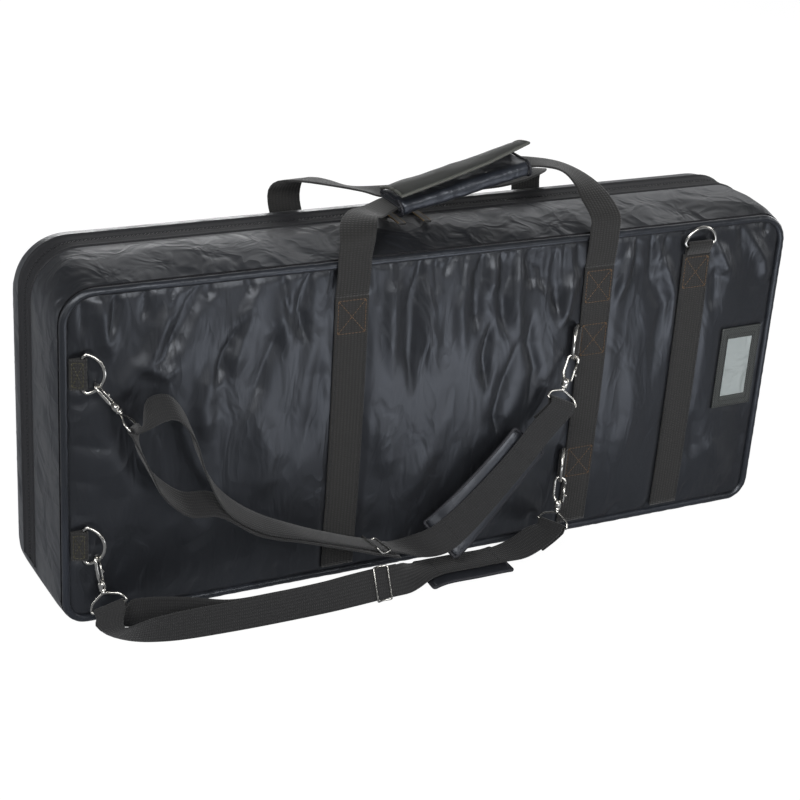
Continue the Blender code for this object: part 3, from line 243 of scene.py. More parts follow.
def outline(y, inset=0.0):
    """Rounded outline of the case at depth y, from the lower left corner up and clockwise."""
    half = HALF_LENGTH + table_value(BULGE, y) - inset
    top, foot = HEIGHT + table_value(RISE, y) - inset, inset
    upper = max(table_value(RADIUS, y) - inset, LEAST_RADIUS)
    lower = max(FOOT_RADIUS - inset, LEAST_RADIUS)
    points = []
    high, low = top - upper, foot + lower
    # each side from its start to its end, then the corner after it
    sides = [((-half, low), (-half, high), SHORT, (-half + upper, high), upper, pi),
             ((-half + upper, top), (half - upper, top), LONG, (half - upper, high), upper, pi / 2),
             ((half, high), (half, low), SHORT, (half - lower, low), lower, 0.0),
             ((half - lower, foot), (-half + lower, foot), LONG, (-half + lower, low), lower, -pi / 2)]
    for start, end, steps, centre, radius, turn in sides:
        for i in range(steps):
            t = i / steps
            points.append((start[0] + (end[0] - start[0]) * t, start[1] + (end[1] - start[1]) * t))
        for i in range(TURN):
            angle = turn - pi / 2 * i / TURN
            points.append((centre[0] + radius * cos(angle), centre[1] + radius * sin(angle)))
    return points


def ring_at(y, inset=0.0):
    return [Vector((x, y, z)) for x, z in outline(y, inset)]


def crown(x, z):
    """Swell of a padded panel at (x, z)."""
    u, v = min(abs(x) / HALF_LENGTH, 1.0), min(abs(z - MID_Z) / MID_Z, 1.0)
    return CROWN * (1 - u * u) * (1 - v * v)


def panel_y(x, z, side):
    """Outer face of the front (side -1) or back (side +1) panel."""
    return (FRONT_Y if side < 0 else BACK_Y) + side * crown(x, z)


def lattice(name, rows, closed=False):
    """Mesh through rows of points, with a UV map in metres: along the rows and from row to row."""
    bm = bmesh.new()
    sheet_uv = bm.loops.layers.uv.new("cloth")
    grid = [[bm.verts.new(point) for point in row] for row in rows]
    count = len(rows[0])
    across = [0.0]
    middle = rows[len(rows) // 2]
    for i in range(count):
        across.append(across[-1] + (middle[(i + 1) % count] - middle[i]).length)
    down = [0.0]
    for a, b in zip(rows, rows[1:]):
        down.append(down[-1] + (b[count // 2] - a[count // 2]).length)
    for r in range(len(rows) - 1):
        for i in range(count if closed else count - 1):
            j = (i + 1) % count
            face = bm.faces.new((grid[r][i], grid[r][j], grid[r + 1][j], grid[r + 1][i]))
            face.smooth = True
            corners = ((across[i], down[r]), (across[i + 1], down[r]),
                       (across[i + 1], down[r + 1]), (across[i], down[r + 1]))
            for loop, uv in zip(face.loops, corners):
                loop[sheet_uv].uv = uv
    bmesh.ops.recalc_face_normals(bm, faces=bm.faces)
    centre = Vector((0, 0, MID_Z))
    if sum(f.normal.dot(f.calc_center_median() - centre) * f.calc_area() for f in bm.faces) < 0:
        bmesh.ops.reverse_faces(bm, faces=bm.faces)
    mesh = bpy.data.meshes.new(name)
    bm.to_mesh(mesh)
    bm.free()
    return mesh


def add_piece(name, mesh, mat, body, stands_for=()):
    """Link a finished mesh as a piece that rides on a body and stands for CAD nodes."""
    piece = bpy.data.objects.new(name, mesh)
    bpy.context.scene.collection.objects.link(piece)
    mesh.materials.clear()
    mesh.materials.append(mat)
    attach(piece, body)
    if stands_for:
        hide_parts(*stands_for)
    return piece


def places_of(vertices):
    """Positions of vertices as an array."""
    return np.array([vertex.co[:] for vertex in vertices])


def drape(mesh, cut, held, pressure, cap, frames=16, bend=0.15):
    """Cloth cut larger than its place, held where held(point) is 1 and pushed out by its padding."""
    start = places_of(mesh.vertices)
    scene = bpy.context.scene
    rig = bpy.data.objects.new("drape_rig", mesh)
    scene.collection.objects.link(rig)
    rig.shape_key_add(name="Basis")
    wide = rig.shape_key_add(name="cut")
    sewn = rig.vertex_groups.new(name="sewn")
    centre = start.mean(axis=0)
    for i, co in enumerate(start):
        wide.data[i].co = centre + (co - centre) * np.array(cut)
        sewn.add([i], held(co), "REPLACE")
    mod = rig.modifiers.new("cloth", "CLOTH")
    cloth = mod.settings
    cloth.quality = 6
    cloth.mass = 0.15
    cloth.tension_stiffness = cloth.compression_stiffness = 18
    cloth.shear_stiffness = 6
    cloth.bending_stiffness = bend
    cloth.vertex_group_mass = "sewn"
    cloth.pin_stiffness = 1.0
    cloth.rest_shape_key = wide
    cloth.use_pressure = True
    cloth.uniform_pressure_force = pressure
    cloth.effector_weights.gravity = 0.0
    mod.collision_settings.use_collision = False
    mod.point_cache.frame_start = 1
    mod.point_cache.frame_end = frames
    for step in range(1, frames + 1):
        scene.frame_set(step)
    posed = rig.evaluated_get(bpy.context.evaluated_depsgraph_get()).to_mesh()
    move = places_of(posed.vertices) - start
    scene.frame_set(1)
    length = np.linalg.norm(move, axis=1, keepdims=True)
    limit = np.array([cap(co) for co in start])[:, None]
    move *= np.minimum(1.0, limit * np.tanh(length / limit) / np.maximum(length, 1e-9))
    bpy.data.objects.remove(rig, do_unlink=True)
    for vertex, co in zip(mesh.vertices, start + move):
        vertex.co = co


def strip_shape_keys(mesh):
    """A copy of the mesh without the keys that the cloth needed."""
    clean = mesh.copy()
    holder = bpy.data.objects.new("holder", clean)
    if clean.shape_keys:
        holder.shape_key_clear()
    bpy.data.objects.remove(holder, do_unlink=True)
    return clean


def fine(piece):
    """Round a piece off by one subdivision."""
    mod = piece.modifiers.new("rounding", "SUBSURF")
    mod.levels = mod.render_levels = 1


def start_material(name):
    """A new material and its node tree."""
    mat = bpy.data.materials.new(name)
    mat.use_nodes = True
    return mat, mat.node_tree


def set_surface(tree, settings, links):
    """Set the values of a material's shader and feed its inputs."""
    shader = tree.nodes["Principled BSDF"]
    for key, value in settings.items():
        shader.inputs[key].default_value = value
    for key, source in links.items():
        tree.links.new(output_of(source), shader.inputs[key])


def make_taffeta(name, shades, crease=1.0, drawn=(1.0, 1.0, 0.40)):
    """Black nylon taffeta, calendered and coated with polyurethane.

    The coat gives it a soft silky gloss over small creases, and the fine weave breaks the gloss up.
    """
    mat, tree = start_material(name)
    where = add_node(tree, "TexCoord").outputs["Object"]
    # creases a few centimetres long, drawn out along the cloth's pull
    stretch = add_node(tree, "Mapping", {"Scale": drawn}, {"Vector": where})
    broad = add_node(tree, "TexNoise", {"Scale": 9.0, "Detail": 2.0, "Roughness": 0.4, "Distortion": 0.7},
                     {"Vector": stretch})
    small = add_node(tree, "TexNoise", {"Scale": 38.0, "Detail": 2.0, "Roughness": 0.45, "Distortion": 0.8},
                     {"Vector": stretch})
    # crumples: flat facets 40 to 80 mm across that meet in sharp lines
    shift = add_node(tree, "VectorMath", {"operation": "MULTIPLY_ADD", 1: (0.05, 0.05, 0.05)},
                     {0: small.outputs["Color"], 2: stretch})
    facets = add_node(tree, "TexVoronoi", {"Scale": 17.0, "Randomness": 1.0}, {"Vector": shift})
    # threads are 0.3 mm apart; drawn at 1.4 mm so that they show
    weave = add_node(tree, "TexVoronoi", {"Scale": 700.0}, {"Vector": where})
    tone = add_node(tree, "ValToRGB", {"stops": ((0.35, shades[0]), (0.75, shades[1]))},
                    {"Fac": broad.outputs["Fac"]})
    gloss = add_node(tree, "MapRange", {"To Min": 0.33, "To Max": 0.46}, {"Value": small.outputs["Fac"]})
    deep = add_node(tree, "Bump", {"Strength": 0.7 * crease, "Distance": 0.021},
                    {"Height": broad.outputs["Fac"]})
    light = add_node(tree, "Bump", {"Strength": 0.24 * crease, "Distance": 0.0040},
                     {"Height": small.outputs["Fac"], "Normal": deep})
    sharp = add_node(tree, "Bump", {"Strength": 0.50 * crease, "Distance": 0.0080},
                     {"Height": facets.outputs["Distance"], "Normal": light})
    thread = add_node(tree, "Bump", {"Strength": 0.10, "Distance": 0.0004},
                      {"Height": weave.outputs["Distance"], "Normal": sharp})
    set_surface(tree, {"IOR": 1.6, "Specular Tint": from_hex("#E4EAF4"), "Coat Weight": 0.30,
                       "Coat Roughness": 0.38, "Coat IOR": 1.5, "Sheen Weight": 0.05, "Sheen Roughness": 0.4},
                {"Base Color": tone, "Roughness": gloss, "Normal": thread})
    return mat


TAFFETA = make_taffeta("nylon_taffeta", ("#121316", "#1B1D21"))

SEWN_DOWN = {-1: [], 1: []}              # (low x, high x, low z, high z) of what is sewn over each panel
for node in ("strap_front_left", "strap_front_middle", "strap_front_end", "card_frame", "tab_upper_left",
             "tab_lower_left", "tab_upper_middle", "tab_lower_middle", "tab_front_end", "strap_back_left",
             "strap_back_middle", "strap_back_end", "tab_back_end"):
    low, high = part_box(node)
    SEWN_DOWN[1 if "back" in node else -1].append((low[0], high[0], low[2], high[2]))


def sewn_distance(x, z, side):
    """Distance in the panel's plane to the nearest piece sewn over it."""
    return min(hypot(max(x0 - x, 0, x - x1), max(z0 - z, 0, z - z1)) for x0, x1, z0, z1 in SEWN_DOWN[side])


def edge_distance(x, z):
    """Distance to the panel's sewn edge."""
    return min(HALF_LENGTH - PANEL_INSET - abs(x), HEIGHT - PANEL_INSET - z, z - PANEL_INSET)


def free_distance(x, z, side):
    """Distance to the nearest place where the panel is held."""
    return min(sewn_distance(x, z, side), edge_distance(x, z))


# Loose cloth hangs in folds from the piping and is drawn towards the sewn runs: each fold is a line of
# points on the panel, its width and its height over the padding, less than nothing for a valley.
FOLDS = [
    ([(-0.304, 0.382), (-0.324, 0.340), (-0.345, 0.300)], 0.0075, -0.0050),
    ([(-0.328, 0.385), (-0.345, 0.340), (-0.362, 0.297), (-0.345, 0.283), (-0.328, 0.292)], 0.0085, 0.0034),
    ([(-0.252, 0.340), (-0.278, 0.299), (-0.290, 0.262)], 0.0065, -0.0042),
    ([(-0.238, 0.372), (-0.262, 0.312), (-0.268, 0.270)], 0.0100, 0.0030),
    ([(-0.183, 0.372), (-0.193, 0.336), (-0.184, 0.300)], 0.0060, -0.0040),
    ([(-0.205, 0.380), (-0.212, 0.330), (-0.205, 0.290)], 0.0090, 0.0030),
    ([(-0.210, 0.330), (-0.231, 0.281), (-0.252, 0.225)], 0.0120, -0.0036),
    ([(-0.289, 0.295), (-0.301, 0.243), (-0.297, 0.200)], 0.0120, 0.0040),
    ([(-0.362, 0.310), (-0.400, 0.262)], 0.0120, 0.0022),
    ([(-0.415, 0.384), (-0.408, 0.340), (-0.402, 0.310)], 0.0090, 0.0036),
    ([(-0.245, 0.240), (-0.225, 0.170), (-0.232, 0.110)], 0.0160, 0.0036),
    ([(-0.165, 0.290), (-0.170, 0.230), (-0.185, 0.160)], 0.0130, -0.0030),
    ([(-0.415, 0.215), (-0.380, 0.150), (-0.400, 0.080)], 0.0180, 0.0034),
    ([(-0.330, 0.130), (-0.300, 0.070)], 0.0200, 0.0030),
    ([(-0.048, 0.378), (-0.058, 0.327), (-0.057, 0.281), (-0.053, 0.225)], 0.0065, -0.0052),
    ([(-0.078, 0.376), (-0.082, 0.320), (-0.078, 0.250)], 0.0100, 0.0036),
    ([(-0.030, 0.372), (-0.034, 0.310), (-0.026, 0.240)], 0.0110, 0.0036),
    ([(0.030, 0.374), (0.025, 0.328), (0.028, 0.285)], 0.0060, -0.0050),
    ([(0.008, 0.372), (0.004, 0.320), (0.010, 0.260)], 0.0090, 0.0034),
    ([(0.046, 0.296), (0.039, 0.254), (0.046, 0.214)], 0.0060, -0.0044),
    ([(0.066, 0.376), (0.058, 0.324), (0.066, 0.278)], 0.0060, -0.0050),
    ([(0.048, 0.372), (0.044, 0.330)], 0.0070, 0.0030),
    ([(0.080, 0.372), (0.078, 0.320), (0.084, 0.270)], 0.0080, 0.0036),
    ([(0.089, 0.376), (0.098, 0.330)], 0.0050, -0.0034),
    ([(0.104, 0.376), (0.113, 0.326)], 0.0050, -0.0034),
    ([(0.127, 0.376), (0.127, 0.333), (0.138, 0.290)], 0.0060, -0.0046),
    ([(0.101, 0.300), (0.099, 0.261), (0.111, 0.229), (0.102, 0.180)], 0.0070, -0.0044),
    ([(0.084, 0.268), (0.068, 0.214), (0.060, 0.177), (0.068, 0.148)], 0.0085, -0.0044),
    ([(0.153, 0.345), (0.142, 0.278)], 0.0085, 0.0046),
    ([(0.000, 0.230), (-0.020, 0.150), (-0.060, 0.080)], 0.0180, 0.0036),
    ([(-0.085, 0.200), (-0.075, 0.120)], 0.0140, 0.0030),
    ([(0.233, 0.374), (0.217, 0.300)], 0.0070, 0.0044),
    ([(0.265, 0.370), (0.300, 0.296), (0.308, 0.230)], 0.0080, 0.0042),
    ([(0.250, 0.340), (0.286, 0.286), (0.280, 0.200)], 0.0120, -0.0036),
    ([(0.245, 0.240), (0.255, 0.150), (0.240, 0.080)], 0.0160, 0.0030),
    ([(0.352, 0.360), (0.381, 0.312)], 0.0080, 0.0040),
    ([(0.398, 0.368), (0.428, 0.330), (0.438, 0.296)], 0.0080, 0.0036),
    ([(0.356, 0.330), (0.362, 0.270)], 0.0080, -0.0034),
    ([(0.372, 0.100), (0.420, 0.045)], 0.0140, 0.0032),
    ([(0.350, 0.140), (0.360, 0.070)], 0.0110, -0.0030),
]
GATHER_TOP, GATHER_FOOT, GATHER_END = 0.384, 0.006, 0.449


def add_gathers():
    """Short gathers all along the piping, closest along the middle of the top."""
    some = np.random.default_rng(23).uniform
    x = -0.432
    while x < 0.440:
        drop, lean = some(0.022, 0.062), some(-0.014, 0.008)
        line = [(x, GATHER_TOP), (x + 0.4 * lean, GATHER_TOP - 0.5 * drop), (x + lean, GATHER_TOP - drop)]
        FOLDS.append((line, some(0.0034, 0.0052), -some(0.0014, 0.0032)))
        x += some(0.012, 0.030) if -0.10 < x < 0.18 else some(0.020, 0.046)
    for x in np.arange(-0.42, 0.43, 0.055):
        rise, lean = some(0.015, 0.040), some(-0.020, 0.020)
        line = [(x, GATHER_FOOT), (x + lean, GATHER_FOOT + rise)]
        FOLDS.append((line, some(0.004, 0.007), -some(0.0010, 0.0022)))
    for z in np.arange(0.05, 0.34, 0.042):
        reach, lean = some(0.018, 0.050), some(-0.014, 0.014)
        for end in (-1, 1):
            line = [(end * GATHER_END, z), (end * (GATHER_END - reach), z + lean)]
            FOLDS.append((line, some(0.005, 0.009), -some(0.0005, 0.0013)))


add_gathers()


def folded(x, z):
    """Height of the folds at each (x, z) of two arrays: round ridges and sharper valleys."""
    spots = np.stack([x, z], axis=1)
    height = np.zeros(len(x))
    for line, width, rise in FOLDS:
        best, along = np.full(len(x), 1e9), np.zeros(len(x))
        for k in range(len(line) - 1):
            a, b = np.array(line[k]), np.array(line[k + 1])
            t = np.clip((spots - a) @ (b - a) / ((b - a) @ (b - a)), 0, 1)
            gap = np.linalg.norm(spots - a - t[:, None] * (b - a), axis=1)
            along = np.where(gap < best, (k + t) / (len(line) - 1), along)
            best = np.minimum(gap, best)
        taper = np.minimum(1.0, 3.2 * np.minimum(along, 1 - along) + 0.15)
        reach = width * (0.55 + 0.45 * taper)
        strength, power = (1.3, 2) if rise > 0 else (1.6, 1.4)
        height += strength * rise * taper * np.exp(-(best / reach) ** power)
    return height


def halved(mesh):
    """The same cloth with each quad cut into four, for the narrow folds."""
    holder = bpy.data.objects.new("holder", mesh)
    bpy.context.scene.collection.objects.link(holder)
    fine(holder)
    finer = bpy.data.meshes.new_from_object(holder.evaluated_get(bpy.context.evaluated_depsgraph_get()))
    bpy.data.objects.remove(holder, do_unlink=True)
    return finer


PANEL_COLUMNS, PANEL_ROWS = 181, 62
HEM_SUNK = 0.0012         # how far the panel's edge is drawn into the seam
SEWN_GAP, EDGE_HELD = 0.0015, 0.003      # cloth this near a sewn piece or the seam is held by it
PUFF, PUFF_OVER = 0.0022, 0.008          # height of loose cloth, and the distance over which it rises
LEAST_SWELL, PANEL_SWELL = 0.0004, 0.0095        # how far cloth may leave its pattern: anywhere, at most


def panel_rows(side):
    """Rows of points over a panel's rounded outline, from foot to top."""
    half, low = HALF_LENGTH - PANEL_INSET, PANEL_INSET
    high = HEIGHT + (0 if side < 0 else TOP_DROP) - PANEL_INSET
    top_r = table_value(RADIUS, FRONT_Y if side < 0 else BACK_Y) - PANEL_INSET
    low_r = FOOT_RADIUS - PANEL_INSET
    levels = [low + low_r * (1 - cos(pi / 2 * i / 7)) for i in range(7)]
    levels += list(np.linspace(low + low_r, high - top_r, PANEL_ROWS))
    levels += [high - top_r * (1 - cos(pi / 2 * i / 8)) for i in reversed(range(8))]
    rows = []
    for z in levels:
        reach = half
        if z < low + low_r:
            reach = half - low_r + sqrt(max(low_r ** 2 - (low + low_r - z) ** 2, 0))
        if z > high - top_r:
            reach = half - top_r + sqrt(max(top_r ** 2 - (z - high + top_r) ** 2, 0))
        across = [-reach + 2 * reach * i / (PANEL_COLUMNS - 1) for i in range(PANEL_COLUMNS)]
        rows.append([Vector((x, panel_y(x, z, side), z)) for x in across])
    return rows


def make_panel(name, side, body, stands_for):
    rows = panel_rows(side)
    mesh = lattice(name, rows)
    for i, vertex in enumerate(mesh.vertices):
        row, column = divmod(i, PANEL_COLUMNS)
        if row in (0, len(rows) - 1) or column in (0, PANEL_COLUMNS - 1):
            vertex.co.y -= side * HEM_SUNK

    def held(co):
        sewn = sewn_distance(co[0], co[2], side) < SEWN_GAP
        return 1.0 if sewn or edge_distance(co[0], co[2]) < EDGE_HELD else 0.0

    def cap(co):
        return LEAST_SWELL + min(PANEL_SWELL, 0.55 * free_distance(co[0], co[2], side))

    drape(mesh, (1.035, 1.0, 1.018), held, 3.2, cap)
    mesh = halved(strip_shape_keys(mesh))
    spots = places_of(mesh.vertices)
    heights = folded(-side * spots[:, 0], spots[:, 2])
    for vertex, height in zip(mesh.vertices, heights):
        x, z = vertex.co.x, vertex.co.z
        resting = abs(vertex.co.y) - abs(panel_y(x, z, side))
        raised = resting + (PUFF + height) * min(1.0, max(0.0, free_distance(x, z, side)) / PUFF_OVER)
        vertex.co.y += side * (max(raised, min(resting, -HEM_SUNK)) - resting)
    piece = add_piece(name, mesh, TAFFETA, body, stands_for)


make_panel("quilted_front", -1, "shell", ["front_panel"])
make_panel("quilted_back", 1, "lid", ["back_panel"])


# ---------------------------------------------------------------- gussets
# The same taffeta runs round the case as a padded wall.  It is gathered into the piping seam and the
# zip seam, so it buckles into short folds across its width.
LIMB = 2 * SHORT + 2 * TURN + LONG       # last outline point before the lower right corner
SEAM = 0.0030             # a gusset's hem runs into the seam behind the bead
WALL_SWELL, GRIP_SWELL, FLOOR_SWELL = 0.0060, 0.0012, 0.0015     # at most, under the grip, on the floor
WALL_TAFFETA = make_taffeta("wall_nylon_taffeta", ("#121316", "#1B1D21"), 1.5, (0.75, 0.75, 0.75))


def arch_at(y, inset=0.0):
    """The outline up one end, over the top and down the other."""
    return ring_at(y, inset)[:LIMB + 1]


def cradle_at(y, inset=0.0):
    """The rest of the outline, under the case."""
    points = ring_at(y, inset)
    return points[LIMB:] + points[:1]


def make_gusset(name, rows, body, stands_for, cut, ends):
    mesh = lattice(name, rows)
    count = len(rows[0])
    pinned = set()
    for i, vertex in enumerate(mesh.vertices):
        row, column = divmod(i, count)
        if row in (0, len(rows) - 1) or column in (0, count - 1) or vertex.co.z < 0.0015:
            pinned.add(tuple(np.round(vertex.co[:], 6)))

    def held(co):
        return 1.0 if tuple(np.round(co, 6)) in pinned else 0.0

    def cap(co):
        near = min(abs(co[1] - end) for end in ends)
        room = WALL_SWELL
        if co[2] > 0.36 and -0.075 < co[0] < 0.135 and co[1] > -0.035:
            room = GRIP_SWELL
        if co[2] < 0.03:
            room = FLOOR_SWELL
        return LEAST_SWELL + min(room, 0.5 * near)

    drape(mesh, cut, held, 2.2, cap, frames=14, bend=0.1)
    piece = add_piece(name, strip_shape_keys(mesh), WALL_TAFFETA, body, stands_for)
    fine(piece)


front_rows = [arch_at(y) for y in np.linspace(ZIP_START, FRONT_Y + SEAM, 17)]
make_gusset("front_wall", front_rows, "shell", ["front_gusset"], (1.02, 1.05, 1.02), (ZIP_START, FRONT_Y))
lid_rows = [arch_at(y) for y in np.linspace(ZIP_END, BACK_Y - SEAM, 9)]
make_gusset("lid_wall", lid_rows, "lid", ["lid_gusset"], (1.02, 1.05, 1.02), (ZIP_END, BACK_Y))
base_rows = [cradle_at(y) for y in np.linspace(FRONT_Y + SEAM, BACK_Y - SEAM, 33)]
make_gusset("base_wall", base_rows, "shell", ["base_gusset"], (1.0, 1.0, 1.0), (FRONT_Y, BACK_Y))


# ---------------------------------------------------------------- piping
# A cord wrapped in a bias strip of the taffeta stiffens each panel's edge; the wrap creases a little
# where it turns the corners.
def changed(mesh, change=None):
    """Apply a bmesh change to a mesh, if any, and turn its faces outwards."""
    bm = bmesh.new()
    bm.from_mesh(mesh)
    if change:
        change(bm)
    bmesh.ops.recalc_face_normals(bm, faces=bm.faces)
    bm.to_mesh(mesh)
    bm.free()
    return mesh


def weld(bm):
    """Join the doubled seam of a closed strip."""
    bmesh.ops.remove_doubles(bm, verts=bm.verts, dist=1e-6)


def tube(name, points, radius, closed, sides=12, ripple=0.0):
    """Round tube through points, its skin rippled by a smooth noise."""
    count = len(points)
    rows = []
    for i, point in enumerate(points):
        before = points[(i - 1) % count] if closed or i else points[0]
        after = points[(i + 1) % count] if closed or i < count - 1 else points[-1]
        run = (after - before).normalized()
        side = run.cross(Vector((0, 1, 0)))
        if side.length < 1e-4:
            side = run.cross(Vector((0, 0, 1)))
        side.normalize()
        other = side.cross(run).normalized()
        row = []
        for k in range(sides):
            angle = 2 * pi * k / sides
            out = side * cos(angle) + other * sin(angle)
            swell = radius + (ripple * noise.noise((point + out * radius * 2) * 150.0) if ripple else 0.0)
            row.append(point + out * swell)
        rows.append(row)
    if closed:
        return changed(lattice(name, rows + rows[:1], True), weld)
    return lattice(name, rows, True)


PIPING_CLOTH = make_taffeta("bias_strip", ("#14161A", "#20232A"), 0.5)
for name, y, body in (("front_piping", FRONT_Y, "shell"), ("back_piping", BACK_Y, "lid")):
    cord = tube("wrapped_" + name, ring_at(y, BEAD), BEAD_RADIUS, True, ripple=0.0005)
    add_piece("wrapped_" + name, cord, PIPING_CLOTH, body, [name])


# ---------------------------------------------------------------- padding and lining
# Inside each shell a tray of 9 mm closed-cell foam is covered in brushed lining cloth that turns over the
# foam's rim at the zip.  It shows only when the lid is open.
UNDER_SKIN, FOAM_T, LINING_T = 0.0020, 0.0090, 0.0012
FOAM_SLOPE = 0.0017
FOAM_GAP = 0.0005
ZIP_ROOM = 0.0022         # each tray's mouth is set back this far from the zip
TURN_BACK, TURN_IN = 0.0045, 0.0125      # where a tray's wall ends and its face begins, from the piping


def make_lining_cloth():
    """Brushed nylon knit: the raised nap kills the gloss and glows a little at the edges."""
    mat, tree = start_material("brushed_lining")
    where = add_node(tree, "TexCoord").outputs["Object"]
    nap = add_node(tree, "TexNoise", {"Scale": 420.0, "Detail": 5.0, "Roughness": 0.75}, {"Vector": where})
    patch = add_node(tree, "TexNoise", {"Scale": 14.0, "Detail": 3.0}, {"Vector": where})
    mixed = add_node(tree, "Math", {"operation": "MULTIPLY_ADD", 1: 0.5},
                     {0: patch.outputs["Fac"], 2: nap.outputs["Fac"]})
    tone = add_node(tree, "ValToRGB", {"stops": ((0.4, "#1B1B1F"), (1.0, "#36363B"))}, {"Fac": mixed})
    bump = add_node(tree, "Bump", {"Strength": 0.3, "Distance": 0.0008}, {"Height": mixed})
    set_surface(tree, {"Roughness": 0.9, "Sheen Weight": 0.4}, {"Base Color": tone, "Normal": bump})
    return mat


LINING_CLOTH = make_lining_cloth()


def tray_rows(edge_y, side, mouth_y, walls, inset, room):
    """Rings from the mouth to the middle of the panel, this far inside the case's outline."""
    deeper = inset + room - UNDER_SKIN
    wall_end = edge_y - side * (BEAD_RADIUS + TURN_BACK + 0.75 * deeper)
    rows = [ring_at(y, inset + room) for y in (mouth_y, *walls, wall_end)]
    edge = outline(edge_y, TURN_IN + 0.45 * deeper)
    for scale in (1.0, 0.85, 0.6, 0.3, 0.05):
        spots = [(x * scale, MID_Z + (z - MID_Z) * scale) for x, z in edge]
        rows.append([Vector((x, edge_y + side * (crown(x, z) - inset - 0.3 * room), z)) for x, z in spots])
    return rows


def capped(mesh, count):
    """Close the two ends of a lofted strip whose rows have this many points."""
    def close(bm):
        bm.verts.ensure_lookup_table()
        last = len(bm.verts) - 1
        bm.faces.new([bm.verts[i] for i in range(count)])
        bm.faces.new([bm.verts[last - i] for i in range(count)])
    return changed(mesh, close)


def make_tray(name, edge_y, side, mouth_y, walls, room, body, stands_for):
    mouth = mouth_y + side * ZIP_ROOM
    cover = FOAM_T + FOAM_GAP + LINING_T
    outside = tray_rows(edge_y, side, mouth, walls, UNDER_SKIN, room)
    inside = tray_rows(edge_y, side, mouth, walls, UNDER_SKIN + cover, FOAM_SLOPE + room)
    middle = UNDER_SKIN + room + 0.5 * (cover + FOAM_SLOPE)
    rim = []
    for turn in (0.5, 1.2, pi / 2, pi - 1.2, pi - 0.5):
        inset = middle - cos(turn) * (middle - UNDER_SKIN - room)
        rim.append(ring_at(mouth_y + side * ZIP_ROOM * (1 - sin(turn)), inset))
    mesh = lattice(name, list(reversed(outside)) + rim + inside, True)
    piece = add_piece(name, capped(mesh, len(outside[0])), LINING_CLOTH, body, stands_for)


make_tray("lined_front", FRONT_Y, -1, ZIP_MID - 0.0010, (ZIP_START, -0.030, -0.060), 0.0, "shell",
          ["front_padding", "front_lining"])
make_tray("lined_lid", BACK_Y, 1, ZIP_MID + 0.0010, (ZIP_END, 0.062), 0.0012, "lid",
          ["lid_padding", "lid_lining"])


# ---------------------------------------------------------------- zip
# A heavy coil zip runs up one end, over the top and down the other: two polyester tapes, each with a
# raised cover cord along its seam, and a nylon coil where they meet.
TAPE_T = 0.0014
CORD_AT, CORD_RISE, CORD_W = 0.0035, 0.0012, 0.0021      # the cover cord: way from the seam, height, width
COIL_PITCH, COIL_BED = 0.0044, 0.0010
COIL_END = 0.004          # the coil stops this far before its tape's ends
BED_W, BED_DROP = 0.0030, 0.0007         # the tape is sunk under the coil
COIL_BEAD = (0.0009, 0.0006)             # half its width along the seam, half its height
COIL_SHAPE = ((-0.0028, 0.5), (-0.0022, 1.0), (0.0006, 1.0), (0.0011, 0.5))      # way across, share of it


def make_tape_cloth(name, dark, light, rough):
    """Dyed polyester or nylon yarn: matte as a woven tape, with a soft shine as a moulded coil."""
    mat, tree = start_material(name)
    where = add_node(tree, "TexCoord").outputs["Object"]
    # twill lines 0.7 mm apart, drawn at 1.5 mm
    twill = add_node(tree, "TexWave", {"bands_direction": "DIAGONAL", "Scale": 220.0, "Distortion": 1.0},
                     {"Vector": where})
    lint = add_node(tree, "TexNoise", {"Scale": 300.0, "Detail": 3.0}, {"Vector": where})
    mixed = add_node(tree, "Math", {"operation": "MULTIPLY"},
                     {0: twill.outputs["Fac"], 1: lint.outputs["Fac"]})
    tone = add_node(tree, "ValToRGB", {"stops": ((0.0, dark), (1.0, light))}, {"Fac": mixed})
    bump = add_node(tree, "Bump", {"Strength": 0.3, "Distance": 0.0004}, {"Height": mixed})
    set_surface(tree, {"Roughness": rough}, {"Base Color": tone, "Normal": bump})
    return mat


ZIP_CLOTH = make_tape_cloth("zip_tape_twill", "#131316", "#2C2D31", 0.72)
COIL_NYLON = make_tape_cloth("coil_nylon", "#0C0C0E", "#1E1F22", 0.38)


def beads_of(name, verts, faces):
    mesh = bpy.data.meshes.new(name)
    mesh.from_pydata([vertex[:] for vertex in verts], [], faces)
    return changed(mesh)


def add_bead(verts, faces, rings):
    """Add a closed bead lofted through rings of points."""
    base, count = len(verts), len(rings[0])
    for ring in rings:
        verts += ring
    for r in range(len(rings) - 1):
        low = base + count * r
        for n in range(count):
            m = (n + 1) % count
            faces.append((low + n, low + m, low + count + m, low + count + n))
    top = base + count * (len(rings) - 1)
    faces.append(tuple(base + n for n in reversed(range(count))))
    faces.append(tuple(top + n for n in range(count)))


def make_coil(spine, way, start):
    """Half of the coil: a short bead across the tape at each pitch along its spine."""
    reach = np.cumsum([0.0] + [(b - a).length for a, b in zip(spine, spine[1:])])
    verts, faces = [], []
    for s in np.arange(COIL_END + start, reach[-1] - COIL_END, COIL_PITCH):
        k = min(int(np.searchsorted(reach, s, side="right")) - 1, len(spine) - 2)
        spot = spine[k].lerp(spine[k + 1], float((s - reach[k]) / (reach[k + 1] - reach[k])))
        run = (spine[k + 1] - spine[k]).normalized()
        up = run.cross(Vector((0, -1, 0))).normalized()
        if up.dot(spot - Vector((0, spot.y, MID_Z))) < 0:
            up.negate()
        rings = []
        for along, fat in COIL_SHAPE:
            middle = spot + Vector((0, way * along, 0))
            rings.append([middle + (run * cos(a) * COIL_BEAD[0] + up * sin(a) * COIL_BEAD[1]) * fat
                          for a in (pi * n / 3 for n in range(6))])
        add_bead(verts, faces, rings)
    return beads_of("coil", verts, faces)


